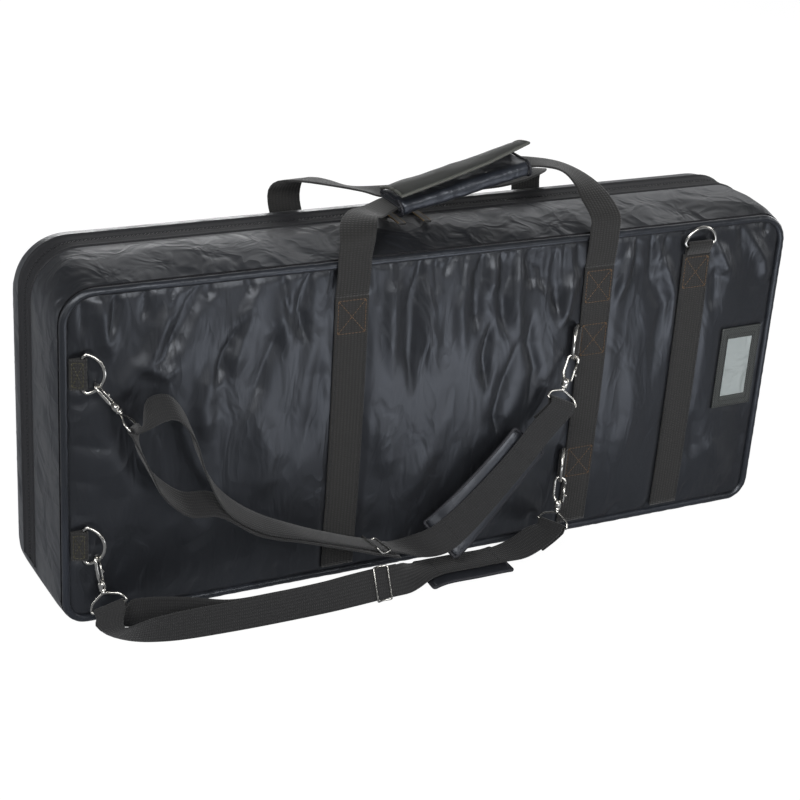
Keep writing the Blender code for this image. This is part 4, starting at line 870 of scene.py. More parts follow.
def make_zip_half(name, sewn_y, meet_y, body, stands_for):
    """Tape section repeated along the arch: cover cord by the seam, sunk bed under the coil."""
    way = 1 if meet_y > sewn_y else -1
    stations = []
    for y in np.linspace(sewn_y, meet_y, 15):
        drop = 0.0002 if abs(y - sewn_y) > 0.0075 else 0.0
        drop += BED_DROP if abs(y - meet_y) < BED_W else 0.0
        off = (abs(y - sewn_y) - CORD_AT) / CORD_W
        stations.append((y, drop - CORD_RISE * float(np.exp(-off ** 2))))
    top = [arch_at(y, inset) for y, inset in stations]
    under = [arch_at(y, max(inset, 0.0) + TAPE_T - 0.0004) for y, inset in reversed(stations)]
    sections = [list(section) for section in zip(*top, *under)]
    mesh = capped(lattice(name, sections, True), len(sections[0]))
    add_piece(name, mesh, ZIP_CLOTH, body, stands_for)
    coil = make_coil(arch_at(meet_y, COIL_BED), way, 0.0 if way > 0 else COIL_PITCH / 2)
    add_piece(name + "_coil", coil, COIL_NYLON, body)


make_zip_half("front_tape", ZIP_START + 0.0003, ZIP_MID - 0.0005, "shell", ["front_zip_tape"])
make_zip_half("lid_tape", ZIP_END, ZIP_MID + 0.0005, "lid", ["lid_zip_tape"])


# ---------------------------------------------------------------- sewn webbing
# Black polypropylene carry webbing, 40 mm wide and 2.2 mm thick, sewn down both panels.  It is matte
# and ribbed across, a little browner than the nylon, and its selvedges are rounded.
WEB_W, WEB_T = 0.040, 0.0022
WEB_SEAT = 0.0005
BOX_TOP = 0.346
RIB, WALE = 0.0026, 0.0042


def make_webbing(name, dark, light):
    """Dyed polypropylene yarn, woven thick and dull; its colour is painted darker between the ribs and
    lighter along their tops, a painted shade and highlight, and flecked by lint.
    """
    mat, tree = start_material(name)
    where = add_node(tree, "UVMap", {"uv_map": "cloth"})
    # ribs 1.5 mm apart in the real webbing; drawn 2.6 mm apart so that they show
    ribs = add_node(tree, "TexWave", {"bands_direction": "Y", "Scale": 1 / RIB / 3.0, "Distortion": 0.6,
                                      "Detail Scale": 1.5}, {"Vector": where})
    wales = add_node(tree, "TexWave", {"bands_direction": "X", "Scale": 1 / WALE / 3.0, "Distortion": 0.3},
                     {"Vector": where})
    lint = add_node(tree, "TexNoise", {"Scale": 240.0, "Detail": 4.0, "Roughness": 0.7}, {"Vector": where})
    both = add_node(tree, "Math", {"operation": "MULTIPLY"},
                    {0: ribs.outputs["Fac"], 1: wales.outputs["Fac"]})
    mixed = add_node(tree, "Math", {"operation": "MULTIPLY_ADD", 1: 0.6},
                     {0: lint.outputs["Fac"], 2: both})
    # painted shade and highlight: the colour follows the ribs, dark in their hollows and light on their tops,
    # with random lint mixed in
    tone = add_node(tree, "ValToRGB", {"stops": ((0.15, dark), (0.95, light))}, {"Fac": mixed})
    bump = add_node(tree, "Bump", {"Strength": 0.6, "Distance": 0.0006}, {"Height": mixed})
    set_surface(tree, {"Roughness": 0.78, "IOR": 1.49, "Sheen Weight": 0.15, "Sheen Roughness": 0.5},
                {"Base Color": tone, "Normal": bump})
    return mat


WEBBING = make_webbing("polypropylene_webbing", "#10100F", "#242322")
SELVEDGE = [(0.2, 1), (0.46, 1), (0.49, 0.8), (0.5, 0.35)]       # share of width, share of half thickness
UPPER_FACE = [(-u, n) for u, n in reversed(SELVEDGE)] + SELVEDGE
WEB_PROFILE = [(u, -n) for u, n in UPPER_FACE] + list(reversed(UPPER_FACE))


def strip(name, path, width, thick, crimp=0.0):
    """Webbing along (point, across) stations, with rounded selvedges."""
    rows = []
    for i, (point, across) in enumerate(path):
        run = (path[min(i + 1, len(path) - 1)][0] - path[max(i - 1, 0)][0]).normalized()
        face = run.cross(across).normalized()
        wobble = crimp * noise.noise(point * 30) if crimp else 0.0
        rows.append([point + across * u * width + face * (n * thick / 2 + wobble * (1 - 4 * u * u))
                     for u, n in WEB_PROFILE])
    return capped(lattice(name, rows, True), len(WEB_PROFILE))


def between(a, b, spacing):
    """Even steps from a to b, about this far apart."""
    steps = max(1, round(abs(b - a) / spacing))
    return [a + (b - a) * i / steps for i in range(steps + 1)]


def on_panel(x, z, side, lift):
    return Vector((x, panel_y(x, z, side) + side * lift, z))


def sew_run(node, side, body):
    """A run of webbing lies along the panel's swell and tilts with it."""
    low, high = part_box(node)
    x = (low[0] + high[0]) / 2
    slope = (panel_y(x + WEB_W / 2, MID_Z, side) - panel_y(x - WEB_W / 2, MID_Z, side)) / WEB_W
    across = Vector((1, slope, 0)).normalized()
    path = []
    for z in between(low[2], high[2], 0.006):
        waver = 0.0004 * noise.noise(Vector((x, 0, z)) * 25)
        path.append((on_panel(x + waver, z, side, WEB_SEAT + WEB_T / 2), across))
    add_piece("sewn_" + node, strip(node, path, WEB_W, WEB_T), WEBBING, body, [node])


SEWN_SIDES = ((-1, "shell", "front"), (1, "lid", "back"))
for side, body, label in SEWN_SIDES:
    for place in ("left", "middle", "end"):
        sew_run("strap_%s_%s" % (label, place), side, body)


# ---------------------------------------------------------------- box stitches
# Bonded tan thread in a box with a cross holds the webbing where the load comes on; a plain row runs
# down each edge of the sewn straps.  Stitches are 3 mm long.
def make_thread(name, dark, light):
    """Bonded nylon thread: smooth and a little waxy, mottled by its twist."""
    mat, tree = start_material(name)
    where = add_node(tree, "TexCoord").outputs["Object"]
    twist = add_node(tree, "TexNoise", {"Scale": 900.0, "Detail": 2.0}, {"Vector": where})
    tone = add_node(tree, "ValToRGB", {"stops": ((0.0, dark), (1.0, light))}, {"Fac": twist.outputs["Fac"]})
    set_surface(tree, {"Roughness": 0.5}, {"Base Color": tone})
    return mat


TAN_THREAD = make_thread("tan_bonded_thread", "#4A3826", "#775B3F")
OLIVE_THREAD = make_thread("olive_bonded_thread", "#2B2A1C", "#4E4A33")
BLACK_THREAD = make_thread("black_bonded_thread", "#0C0C0E", "#2A2A2D")
THREAD_R, FINE_THREAD_R = 0.00038, 0.0003
STITCH, STITCH_GAP, STITCH_LIFT = 0.0030, 0.0009, 0.0001


def stitches(lines, radius=THREAD_R, length=STITCH):
    """Rows of short threads along the lines; each line is a list of (point, outward) pairs."""
    verts, faces = [], []
    for line in lines:
        points = [point for point, _ in line]
        reach = np.cumsum([0.0] + [(b - a).length for a, b in zip(points, points[1:])])
        count = max(1, int(float(reach[-1]) / (length + STITCH_GAP)))
        pitch = float(reach[-1]) / count

        def spot(s):
            k = min(int(np.searchsorted(reach, s, side="right")) - 1, len(points) - 2)
            t = (s - reach[k]) / max(reach[k + 1] - reach[k], 1e-9)
            return points[k].lerp(points[k + 1], t), line[k][1].lerp(line[k + 1][1], t)

        for n in range(count):
            start, out = spot(n * pitch + STITCH_GAP / 2)
            end, _ = spot((n + 1) * pitch - STITCH_GAP / 2)
            run = (end - start).normalized()
            wide = run.cross(out).normalized()
            up = wide.cross(run).normalized()
            rings = []
            for t, fat in ((0.0, 0.35), (0.18, 0.95), (0.5, 1.0), (0.82, 0.95), (1.0, 0.35)):
                middle = start.lerp(end, t) + up * (STITCH_LIFT + radius * (fat - 0.7))
                rings.append([middle + (wide * cos(pi * k / 3) + up * sin(pi * k / 3)) * radius * fat
                              for k in range(6)])
            add_bead(verts, faces, rings)
    mesh = beads_of("stitches", verts, faces)
    for polygon in mesh.polygons:
        polygon.use_smooth = True
    return mesh


def box_lines(x0, x1, z0, z1):
    """The four sides of a box of stitches."""
    corners = [(x0, z0), (x1, z0), (x1, z1), (x0, z1), (x0, z0)]
    return list(zip(corners, corners[1:]))


def box_with_cross(x0, x1, z0, z1):
    return box_lines(x0, x1, z0, z1) + [((x0, z0), (x1, z1)), ((x0, z1), (x1, z0))]


def on_line(line, steps, place):
    """place(x, z) at even steps along a straight line."""
    (ax, az), (bx, bz) = line
    return [place(ax + (bx - ax) * i / steps, az + (bz - az) * i / steps) for i in range(steps + 1)]


ON_WEB = WEB_SEAT + WEB_T
BOX_IN = 0.0035           # the boxes lie this far inside the webbing's edges
BOX_HIGH, BOX_FEET = 0.038, (0.238, 0.078)       # their height, and where the ring tabs' boxes stand


def sew_side(side, body, label):
    """Boxes at the head of each run and where the rings' tabs are, and a row down each edge."""
    def on_web(x, z):
        return on_panel(x, z, side, ON_WEB), Vector((0, side, 0))

    def laid(lines):
        return [on_line((a, b), max(1, round(hypot(b[0] - a[0], b[1] - a[1]) / 0.01)), on_web)
                for a, b in lines]

    boxes, rows = [], []
    for place in ("left", "middle", "end"):
        low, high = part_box("strap_%s_%s" % (label, place))
        x0, x1 = low[0] + BOX_IN, high[0] - BOX_IN
        boxes += box_with_cross(x0, x1, high[2] - 0.004 - BOX_HIGH, high[2] - 0.004)
        rows += [((x, low[2] + 0.002), (x, high[2] - 0.046)) for x in (x0 - 0.001, x1 + 0.001)]
    low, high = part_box("strap_%s_middle" % label)
    for foot in BOX_FEET:
        boxes += box_with_cross(low[0] + BOX_IN, high[0] - BOX_IN, foot, foot + BOX_HIGH)
    add_piece("box_stitches_" + label, stitches(laid(boxes)), TAN_THREAD, body)
    add_piece("edge_stitches_" + label, stitches(laid(rows), FINE_THREAD_R), BLACK_THREAD, body)


for side, body, label in SEWN_SIDES:
    sew_side(side, body, label)


# ---------------------------------------------------------------- ring tabs
# A short fold of the same webbing holds each ring's bar; its tail is sewn flat, on the left with a box
# and a cross of olive thread.
TAB_W = 0.034
TAB_OUT, TAB_WALL = 0.0045, 0.0020
PLACES = ("upper_left", "lower_left", "upper_middle", "lower_middle")
LEFT, RIGHT, UP = Vector((-1, 0, 0)), Vector((1, 0, 0)), Vector((0, 0, 1))
FORWARD, BACKWARD = Vector((0, -1, 0)), Vector((0, 1, 0))
# each tab's way from its tail to the ring, and its tail's length
TAB_TOWARDS = {"upper_left": (RIGHT, 0.0135), "lower_left": (RIGHT, 0.0135), "upper_middle": (LEFT, 0.0045),
               "lower_middle": (LEFT, 0.0045), "front_end": (UP, 0.0120), "back_end": (UP, 0.0120)}
RING_AT = {}
for place in TAB_TOWARDS:
    joint = JOINT["ring_hinge_" + place]
    RING_AT[place] = (Vector(joint["pos_m"]), Vector(joint["axis"]).normalized())


def make_tab(place):
    """Fold a tab round its ring's bar, and give the mesh for its stitches to lie on."""
    bar = RING_AT[place][0]
    towards, tail = TAB_TOWARDS[place]
    out, body = (BACKWARD, "lid") if place == "back_end" else (FORWARD, "shell")
    across = out.cross(towards)
    mid = TAB_OUT - TAB_WALL / 2
    path = [bar - towards * tail - out * mid]
    for turn in np.linspace(-pi / 2, pi / 2 + 0.75, 11):
        path.append(bar + towards * mid * cos(turn) + out * mid * sin(turn))
    path.append(bar - towards * max(tail, 0.006) - out * (mid - TAB_WALL * 1.05))
    mesh = strip("fold", [(point, across) for point in path], TAB_W, TAB_WALL * 0.96)
    add_piece("fold_tab_" + place, mesh, WEBBING, body, ["tab_" + place])
    return BVHTree.FromPolygons([v.co for v in mesh.vertices], [p.vertices[:] for p in mesh.polygons])


def sew_tab(place, ply):
    """A box with a cross through both plies, laid on the upper one."""
    def on_ply(x, z):
        return ply.ray_cast(Vector((x, -0.2, z)), BACKWARD)[0], FORWARD

    low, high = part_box("tab_" + place)
    lines = box_with_cross(low[0] + 0.0016, RING_AT[place][0].x - 0.0010, low[2] + BOX_IN, high[2] - BOX_IN)
    mesh = stitches([on_line(line, 10, on_ply) for line in lines])
    add_piece("tab_stitches_" + place, mesh, OLIVE_THREAD, "shell")


plies = {place: make_tab(place) for place in TAB_TOWARDS}
for place in ("upper_left", "lower_left"):
    sew_tab(place, plies[place])


# ---------------------------------------------------------------- D-rings
# Bent nickel-plated steel wire, 4 mm thick: a straight bar and a half-round bow, butt-welded.  The bar
# turns in its tab.
RING_R, RING_WIRE = 0.0220, 0.0020
BOW_TURN = radians(80)    # the bow reaches this far to each side
BAR_HALF = 0.87 * RING_R


def make_nickel():
    """Nickel plating over polished steel: a warm grey mirror, dulled here and there by handling."""
    mat, tree = start_material("nickel_plated_steel")
    where = add_node(tree, "TexCoord").outputs["Object"]
    scuff = add_node(tree, "TexNoise", {"Scale": 260.0, "Detail": 4.0, "Roughness": 0.6},
                     {"Vector": where}).outputs["Fac"]
    gloss = add_node(tree, "MapRange", {"From Min": 0.3, "From Max": 0.7, "To Min": 0.119, "To Max": 0.255},
                     {"Value": scuff})
    tone = add_node(tree, "ValToRGB", {"stops": ((0.0, "#B9B6AF"), (1.0, "#E2E0DA"))}, {"Fac": scuff})
    bump = add_node(tree, "Bump", {"Strength": 0.15, "Distance": 0.0002}, {"Height": scuff})
    set_surface(tree, {"Metallic": 1.0}, {"Base Color": tone, "Roughness": gloss, "Normal": bump})
    return mat


NICKEL = make_nickel()


def square_to(way, axis):
    """The part of a direction that is square to an axis."""
    return (way - axis * way.dot(axis)).normalized()


for place, (bar, axis) in RING_AT.items():
    low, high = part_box("ring_" + place)
    towards = square_to((Vector(low) + Vector(high)) / 2 - bar, axis)
    points = [bar + (towards * cos(a) + axis * sin(a)) * RING_R for a in np.linspace(-BOW_TURN, BOW_TURN, 29)]
    points += [bar + axis * BAR_HALF * s for s in between(1, -1, 0.25)]
    ring = tube("wire_ring", points, RING_WIRE, True)
    add_piece("wire_ring_" + place, ring, NICKEL, "ring_" + place, ["ring_" + place])


# ---------------------------------------------------------------- snap hooks
# Die-cast swivel snaps: a turned barrel carries a bent bow and a sprung gate with a thumb stud; below it
# a ball stem turns in the barrel and holds the triangular wire eye of the shoulder strap.
HOOK_REACH, HOOK_BOW, HOOK_WIRE = 0.0300, 0.0062, 0.0019
MOUTH_LIP = 0.0284        # the bow's free end, over the gate's tip
BARREL_R, STEM_R, BALL_R, BALL_Z = 0.0045, 0.0018, 0.0028, -0.0062
BARREL = [(0.55, 0.0086), (0.75, 0.0082), (0.80, 0.0060), (0.95, 0.0052), (1.0, 0.0040), (1.0, -0.0005),
          (0.86, -0.0012), (0.86, -0.0020), (1.0, -0.0027), (0.92, -0.0035),
          ((STEM_R + 0.0003) / BARREL_R, -0.0035)]       # shares of the radius, and heights
GATE_X, GATE_WIRE = 0.0060, 0.0012
GATE_HEIGHTS = (0.0058, 0.0088, 0.0125, 0.0165, 0.0276)
STUD = [(0.0010, -0.0005), (0.0010, 0.0012), (0.0019, 0.0016), (0.0021, 0.0024), (0.0012, 0.0030)]
STUD_AT = Matrix.Translation((GATE_X + 0.0008, 0, 0.0145)) @ Matrix.Rotation(pi / 2, 4, "Y")
STEM = [(0.0004, 0.0012), (STEM_R, 0.0010), (STEM_R, BALL_Z + BALL_R * 0.8),
        (BALL_R * 0.8, BALL_Z + BALL_R * 0.55), (BALL_R, BALL_Z), (BALL_R * 0.85, BALL_Z - BALL_R * 0.5),
        (BALL_R * 0.4, BALL_Z - BALL_R * 0.92)]
STRAP_W, STRAP_T = 0.036, 0.0020
EYE_WIRE = 0.0015
EYE_HALF = STRAP_W / 2 + 0.0030 + EYE_WIRE
# the middle of each eye's bar, and the bar's direction
EYE_BAR = {"upper_left": ((-0.3850, -0.1100, 0.2370), (-0.10, 0.90, 0.35)),
           "lower_left": ((-0.4120, -0.1115, 0.0300), (0.80, -0.45, 0.40)),
           "upper_middle": ((0.1350, -0.1180, 0.1950), (-0.87, 0.10, 0.49)),
           "lower_middle": ((0.1450, -0.1110, 0.0290), (0.0, 0.85, 0.50))}
BEND_STEPS = 5


def turned(name, profile, matrix, sides=20):
    """Turned piece: (radius, height) profile about the matrix's Z axis."""
    turns = [2 * pi * k / sides for k in range(sides)]
    rows = [[matrix @ Vector((r * cos(a), r * sin(a), z)) for a in turns] for r, z in profile]
    return capped(lattice(name, rows, True), sides)


def rod(name, points, radius, sides):
    """Tube with closed ends."""
    return capped(tube(name, points, radius, False, sides), sides)


def joined(name, meshes):
    """One mesh of several, kept in their places."""
    bm = bmesh.new()
    for mesh in meshes:
        bm.from_mesh(mesh)
    out = bpy.data.meshes.new(name)
    bm.to_mesh(out)
    bm.free()
    for mesh in meshes:
        bpy.data.meshes.remove(mesh)
    return out


def rounded(points, radius, closed=False):
    """Bent wire's path: the corners between straight legs are rounded."""
    out = []
    count = len(points)
    for i, point in enumerate(points):
        if not closed and i in (0, count - 1):
            out.append(point)
            continue
        a, b = points[(i - 1) % count], points[(i + 1) % count]
        r = min(radius, (a - point).length * 0.45, (b - point).length * 0.45)
        p0, p1 = point + (a - point).normalized() * r, point + (b - point).normalized() * r
        for k in range(BEND_STEPS + 1):
            t = k / BEND_STEPS
            out.append(p0 * (1 - t) ** 2 + point * 2 * t * (1 - t) + p1 * t ** 2)
    return out


def framed_on(x, y, z, origin):
    """Matrix of a frame from its axes and origin."""
    matrix = Matrix((x, y, z)).transposed().to_4x4()
    matrix.translation = origin
    return matrix


def make_snap(place, matrix):
    """Barrel and bow."""
    barrel = turned("barrel", [(BARREL_R * share, z) for share, z in BARREL], matrix)
    path = [(-0.0015, 0, 0.0055), (-0.0038, 0, 0.0085), (-HOOK_BOW, 0, 0.0130)]
    path += [(-HOOK_BOW * cos(a), 0, HOOK_REACH + HOOK_BOW * sin(a)) for a in between(0, pi, pi / 12)]
    path = [matrix @ Vector(p) for p in path + [(HOOK_BOW, 0, MOUTH_LIP)]]
    rail = rod("rail", rounded(path[:4], 0.004) + path[4:], HOOK_WIRE, 14)
    add_piece("snap_" + place, joined("snap", [barrel, rail]), NICKEL, "hook_" + place,
              ["hook_" + place])


def make_gate(place, matrix):
    """Sprung blade with its thumb stud."""
    blade = rod("blade", [matrix @ Vector((GATE_X, 0, z)) for z in GATE_HEIGHTS], GATE_WIRE, 12)
    stud = turned("stud", STUD, matrix @ STUD_AT, 14)
    add_piece("gate_blade_" + place, joined("gate", [blade, stud]), NICKEL, "gate_" + place,
              ["gate_" + place])


def make_eye(place, matrix):
    """Ball stem and triangular eye; gives the eye's bar for the webbing to turn round."""
    bar, wide = (Vector(v) for v in EYE_BAR[place])
    ball = matrix @ Vector((0, 0, BALL_Z))
    leave = (bar - ball).normalized()
    wide = square_to(wide.normalized(), leave)
    stem = turned("stem", STEM, matrix, 16)
    slope_a, slope_b = (ball + (bar - ball) * 0.45 + wide * EYE_HALF * 0.80 * s for s in (-1, 1))
    loop = [bar - wide * EYE_HALF, slope_a, ball, slope_b, bar + wide * EYE_HALF]
    wire = tube("wire", rounded(loop, 0.005, closed=True), EYE_WIRE, True)
    add_piece("strap_eye_" + place, joined("strap_eye", [stem, wire]), NICKEL, "shell",
              ["eye_" + place])
    return bar, leave, wide


EYES = {}
for place in PLACES:
    swivel, gate = JOINT["hook_swivel_" + place], JOINT["gate_hinge_" + place]
    origin, z = Vector(swivel["pos_m"]), Vector(swivel["axis"]).normalized()
    x = square_to(Vector(gate["pos_m"]) - origin, z)
    matrix = framed_on(x, z.cross(x), z, origin)
    make_snap(place, matrix)
    make_gate(place, matrix)
    EYES[place] = make_eye(place, matrix)


# ---------------------------------------------------------------- handle loops
# The same webbing leaves the panels at the box stitches and forms two loops: the front one is gathered
# into the padded grip, the rear one lies behind it on the lid.
LOOP_FOOT = BOX_TOP + 0.0003
LEG_Y = abs(FRONT_Y) + BEAD_RADIUS + 0.0006 + WEB_T / 2
BEAD_FOOT = HEIGHT - 2 * BEAD - 0.003
LEFT_X, RIGHT_X = -0.130, 0.188
GRIP_MID = Vector((0.030, -0.014, 0.438))
GRIP_TILT = radians(12)
GRIP_RUN = Vector((cos(GRIP_TILT), 0, sin(GRIP_TILT)))
GRIP_UP = Vector((-sin(GRIP_TILT), 0, cos(GRIP_TILT)))
GRIP_HALF = 0.0825
GRIP_WEB_Y = 0.0025
STATION_STEP = 0.006
CRIMP = 0.0004            # how far loose webbing cups across its width


def on_grip(along, across=0.0, up=0.0):
    return GRIP_MID + GRIP_RUN * along + Vector((0, across, 0)) + GRIP_UP * up


def at(x, y, z, wide):
    """Station of a webbing's path: its middle and the direction of its width."""
    return Vector((x, y, z)), Vector(wide).normalized()


def flow(stations):
    """Chord-length spline through (point, across) stations."""
    knots = [0.0]
    for (a, _), (b, _) in zip(stations, stations[1:]):
        knots.append(knots[-1] + max((b - a).length, 1e-6))

    def slope(k, part):
        lo, hi = max(k - 1, 0), min(k + 1, len(stations) - 1)
        return (stations[hi][part] - stations[lo][part]) / (knots[hi] - knots[lo])

    def blend(k, t, part):
        a, b = stations[k][part], stations[k + 1][part]
        pull = (t ** 3 - 2 * t ** 2 + t) * slope(k, part) + (t ** 3 - t ** 2) * slope(k + 1, part)
        return a + (3 * t ** 2 - 2 * t ** 3) * (b - a) + (knots[k + 1] - knots[k]) * pull

    path = []
    for k in range(len(stations) - 1):
        count = max(1, round((knots[k + 1] - knots[k]) / STATION_STEP))
        path += [(blend(k, i / count, 0), blend(k, i / count, 1)) for i in range(count)]
    path.append(stations[-1])
    return [(point, across.normalized()) for point, across in path]


def foot_y(x):
    return abs(panel_y(x, BOX_TOP, -1)) + WEB_SEAT + WEB_T / 2


front_loop = [
    at(LEFT_X, -foot_y(LEFT_X), LOOP_FOOT, (1, 0, 0)), at(LEFT_X, -LEG_Y, BEAD_FOOT, (1, 0, 0)),
    at(LEFT_X, -LEG_Y, 0.390, (1, 0, 0)), at(-0.128, -0.089, 0.409, (0.98, -0.10, 0)),
    at(-0.120, -0.072, 0.4215, (0.85, -0.50, 0.05)), at(-0.104, -0.050, 0.4245, (0.50, -0.85, 0.05)),
    at(-0.080, -0.029, 0.4195, (0.15, -0.98, 0)), (on_grip(-GRIP_HALF, GRIP_WEB_Y), FORWARD),
    (on_grip(0, GRIP_WEB_Y), FORWARD), (on_grip(GRIP_HALF, GRIP_WEB_Y), FORWARD),
    at(0.143, -0.018, 0.4540, (-0.10, -1, 0)), at(0.166, -0.026, 0.4480, (-0.50, -0.87, 0)),
    at(0.182, -0.043, 0.4360, (-0.87, -0.50, 0)), at(RIGHT_X, -0.066, 0.4210, (-1, 0, 0)),
    at(RIGHT_X, -0.088, 0.4065, (-1, 0, 0)), at(RIGHT_X, -LEG_Y, 0.390, (-1, 0, 0)),
    at(RIGHT_X, -LEG_Y, BEAD_FOOT, (-1, 0, 0)), at(RIGHT_X, -foot_y(RIGHT_X), LOOP_FOOT, (-1, 0, 0)),
]
back_loop = [
    at(LEFT_X, foot_y(LEFT_X), LOOP_FOOT, (-1, 0, 0)), at(-0.131, LEG_Y, BEAD_FOOT, (-1, 0, 0)),
    at(-0.136, LEG_Y + 0.001, 0.398, (-1, 0, 0)), at(-0.136, 0.0905, 0.4120, (-1, 0, 0.05)),
    at(-0.134, 0.0780, 0.4265, (-0.95, -0.30, 0.10)), at(-0.120, 0.0590, 0.4320, (-0.72, -0.68, 0.15)),
    at(-0.098, 0.0460, 0.4300, (-0.30, -0.95, 0.15)), at(-0.072, 0.0385, 0.4240, (0, -0.98, 0.15)),
    at(-0.045, 0.037, 0.4185, (0, -1, 0)), at(0.030, 0.037, 0.4170, (0, -1, 0)),
    at(0.105, 0.037, 0.4175, (0, -1, 0)), at(0.140, 0.041, 0.4210, (0.10, -1, 0)),
    at(0.168, 0.057, 0.4220, (0.60, -0.80, 0)), at(0.184, 0.078, 0.4150, (0.95, -0.30, 0)),
    at(RIGHT_X, 0.0925, 0.4010, (1, 0, 0)), at(RIGHT_X, LEG_Y, BEAD_FOOT, (1, 0, 0)),
    at(RIGHT_X, foot_y(RIGHT_X), LOOP_FOOT, (1, 0, 0)),
]
for label, stations in (("front", front_loop), ("back", back_loop)):
    name = label + "_carry_loop"
    add_piece(name, strip(name, flow(stations), WEB_W, WEB_T, CRIMP), WEBBING, label + "_handle",
              ["handle_loop_" + label])


# ---------------------------------------------------------------- grip
# A padded nylon wrap folds round the front loop and closes with a flap of hook-and-loop tape on top.
# Its long edges are bound in grosgrain, and the flap's in a paler one, its paleness partly a painted
# highlight along the flap's top edge.
GRIP_W, GRIP_H, GRIP_T, GRIP_NOSE = 0.051, 0.017, 0.0062, 0.0075
FLAP_T, FLAP_REACH = 0.0040, 0.056
FLAP_LIFT = (8, 11, 15, 23)              # degrees of lift from one end of the flap to the other
FLAP_ARCH = 0.0045
FLAP_HINGE_Y = GRIP_W / 2 - 0.001
FLAP_HINGE_UP = GRIP_H / 2 + 0.0006 + FLAP_T / 2


def make_binding(name, dark, light):
    """Polyester grosgrain or canvas: flat and dull, with fine ribs whose colour runs from dark to light
    across each rib, a painted highlight on the ribs.
    """
    mat, tree = start_material(name)
    where = add_node(tree, "TexCoord").outputs["Object"]
    # grosgrain ribs 0.8 mm apart, drawn at 1.6 mm
    ribs = add_node(tree, "TexWave", {"bands_direction": "DIAGONAL", "Scale": 210.0, "Distortion": 1.5},
                    {"Vector": where}).outputs["Fac"]
    # painted highlight: each rib's colour goes from dark in its hollow to light on its top
    tone = add_node(tree, "ValToRGB", {"stops": ((0.0, dark), (1.0, light))}, {"Fac": ribs})
    bump = add_node(tree, "Bump", {"Strength": 0.4, "Distance": 0.0005}, {"Height": ribs})
    set_surface(tree, {"Roughness": 0.6}, {"Base Color": tone, "Normal": bump})
    return mat


DARK_BINDING = make_binding("black_grosgrain", "#15151A", "#2C2D33")
# the flap's edge tape: partly its own grey, partly a painted highlight along that edge
PALE_BINDING_AND_HIGHLIGHT = make_binding("grey_grosgrain", "#3C3D39", "#5E5F59")
FLAP_CLOTH = make_binding("flap_canvas", "#1B1C1A", "#393B37")
GRIP_CLOTH = make_taffeta("grip_nylon", ("#1A1C21", "#2C3038"), 0.9)


def wrap_profile(steps):
    """Section of the padded wrap, open towards the back."""
    half_w, half_h = GRIP_W / 2, GRIP_H / 2

    def nose(hw, hh, r):
        turns = [pi / 2 * i / steps for i in range(steps + 1)]
        lower = [(-hw + r - r * sin(a), -hh + r - r * cos(a)) for a in turns]
        return lower + [(y, -n) for y, n in reversed(lower)]

    def lip(sign):
        middle = (half_h - GRIP_T / 2) * sign
        return [(half_w - GRIP_T / 2 + GRIP_T / 2 * sin(a), middle + sign * GRIP_T / 2 * cos(a))
                for a in (pi * i / 6 for i in range(7))]

    outside = nose(half_w, half_h, GRIP_NOSE)
    inside = nose(half_w - GRIP_T, half_h - GRIP_T, 0.0012)
    flat_low = [(half_w * t, -half_h) for t in (0.6, 0.2, -0.3)]
    flat_high = [(y, -n) for y, n in reversed(flat_low)]
    return flat_low + outside + flat_high + lip(1) + list(reversed(inside)) + list(reversed(lip(-1)))


def make_wrap():
    profile = wrap_profile(7)
    rows = []
    for along in between(-GRIP_HALF, GRIP_HALF, 0.0045):
        row = []
        for y, n in profile:
            spot = on_grip(along, y, n)
            puff = 0.0012 * noise.noise(spot * 45) + 0.0008 * noise.noise(spot * 110)
            row.append(spot + (Vector((0, y, 0)) * 0.6 + GRIP_UP * n * 1.6).normalized() * puff)
        rows.append(row)
    wrap = capped(lattice("wrap", rows, True), len(profile))
    wrap = add_piece("padded_grip", wrap, GRIP_CLOTH, "front_handle", ["grip_wrap"])
    fine(wrap)

    rims = [tube("rim", [on_grip(along, y, n) for y, n in wrap_profile(5)], 0.0016, True, 8)
            for along in (-GRIP_HALF, GRIP_HALF)]
    for n in (GRIP_H / 2 - GRIP_T / 2, -GRIP_H / 2 + GRIP_T / 2):
        lip = [on_grip(along, GRIP_W / 2 - 0.0005, n) for along in between(-GRIP_HALF, GRIP_HALF, 0.006)]
        rims.append(rod("rim", lip, 0.0024, 8))
    add_piece("grip_binding", joined("grip_binding", rims), DARK_BINDING, "front_handle")


def flap_point(s, t, n=0.0):
    """Point on the flap: s along the grip from 0 to 1, t from the hinge to the free edge, n through it."""
    lift = radians(float(np.interp(s * 3, (0, 1, 2, 3), FLAP_LIFT)))
    rise = n + FLAP_ARCH * sin(pi * t)
    y = FLAP_HINGE_Y - cos(lift) * t * FLAP_REACH + sin(lift) * rise
    up = FLAP_HINGE_UP + sin(lift) * t * FLAP_REACH + cos(lift) * rise
    return on_grip(-GRIP_HALF + 2 * GRIP_HALF * s, y, up)


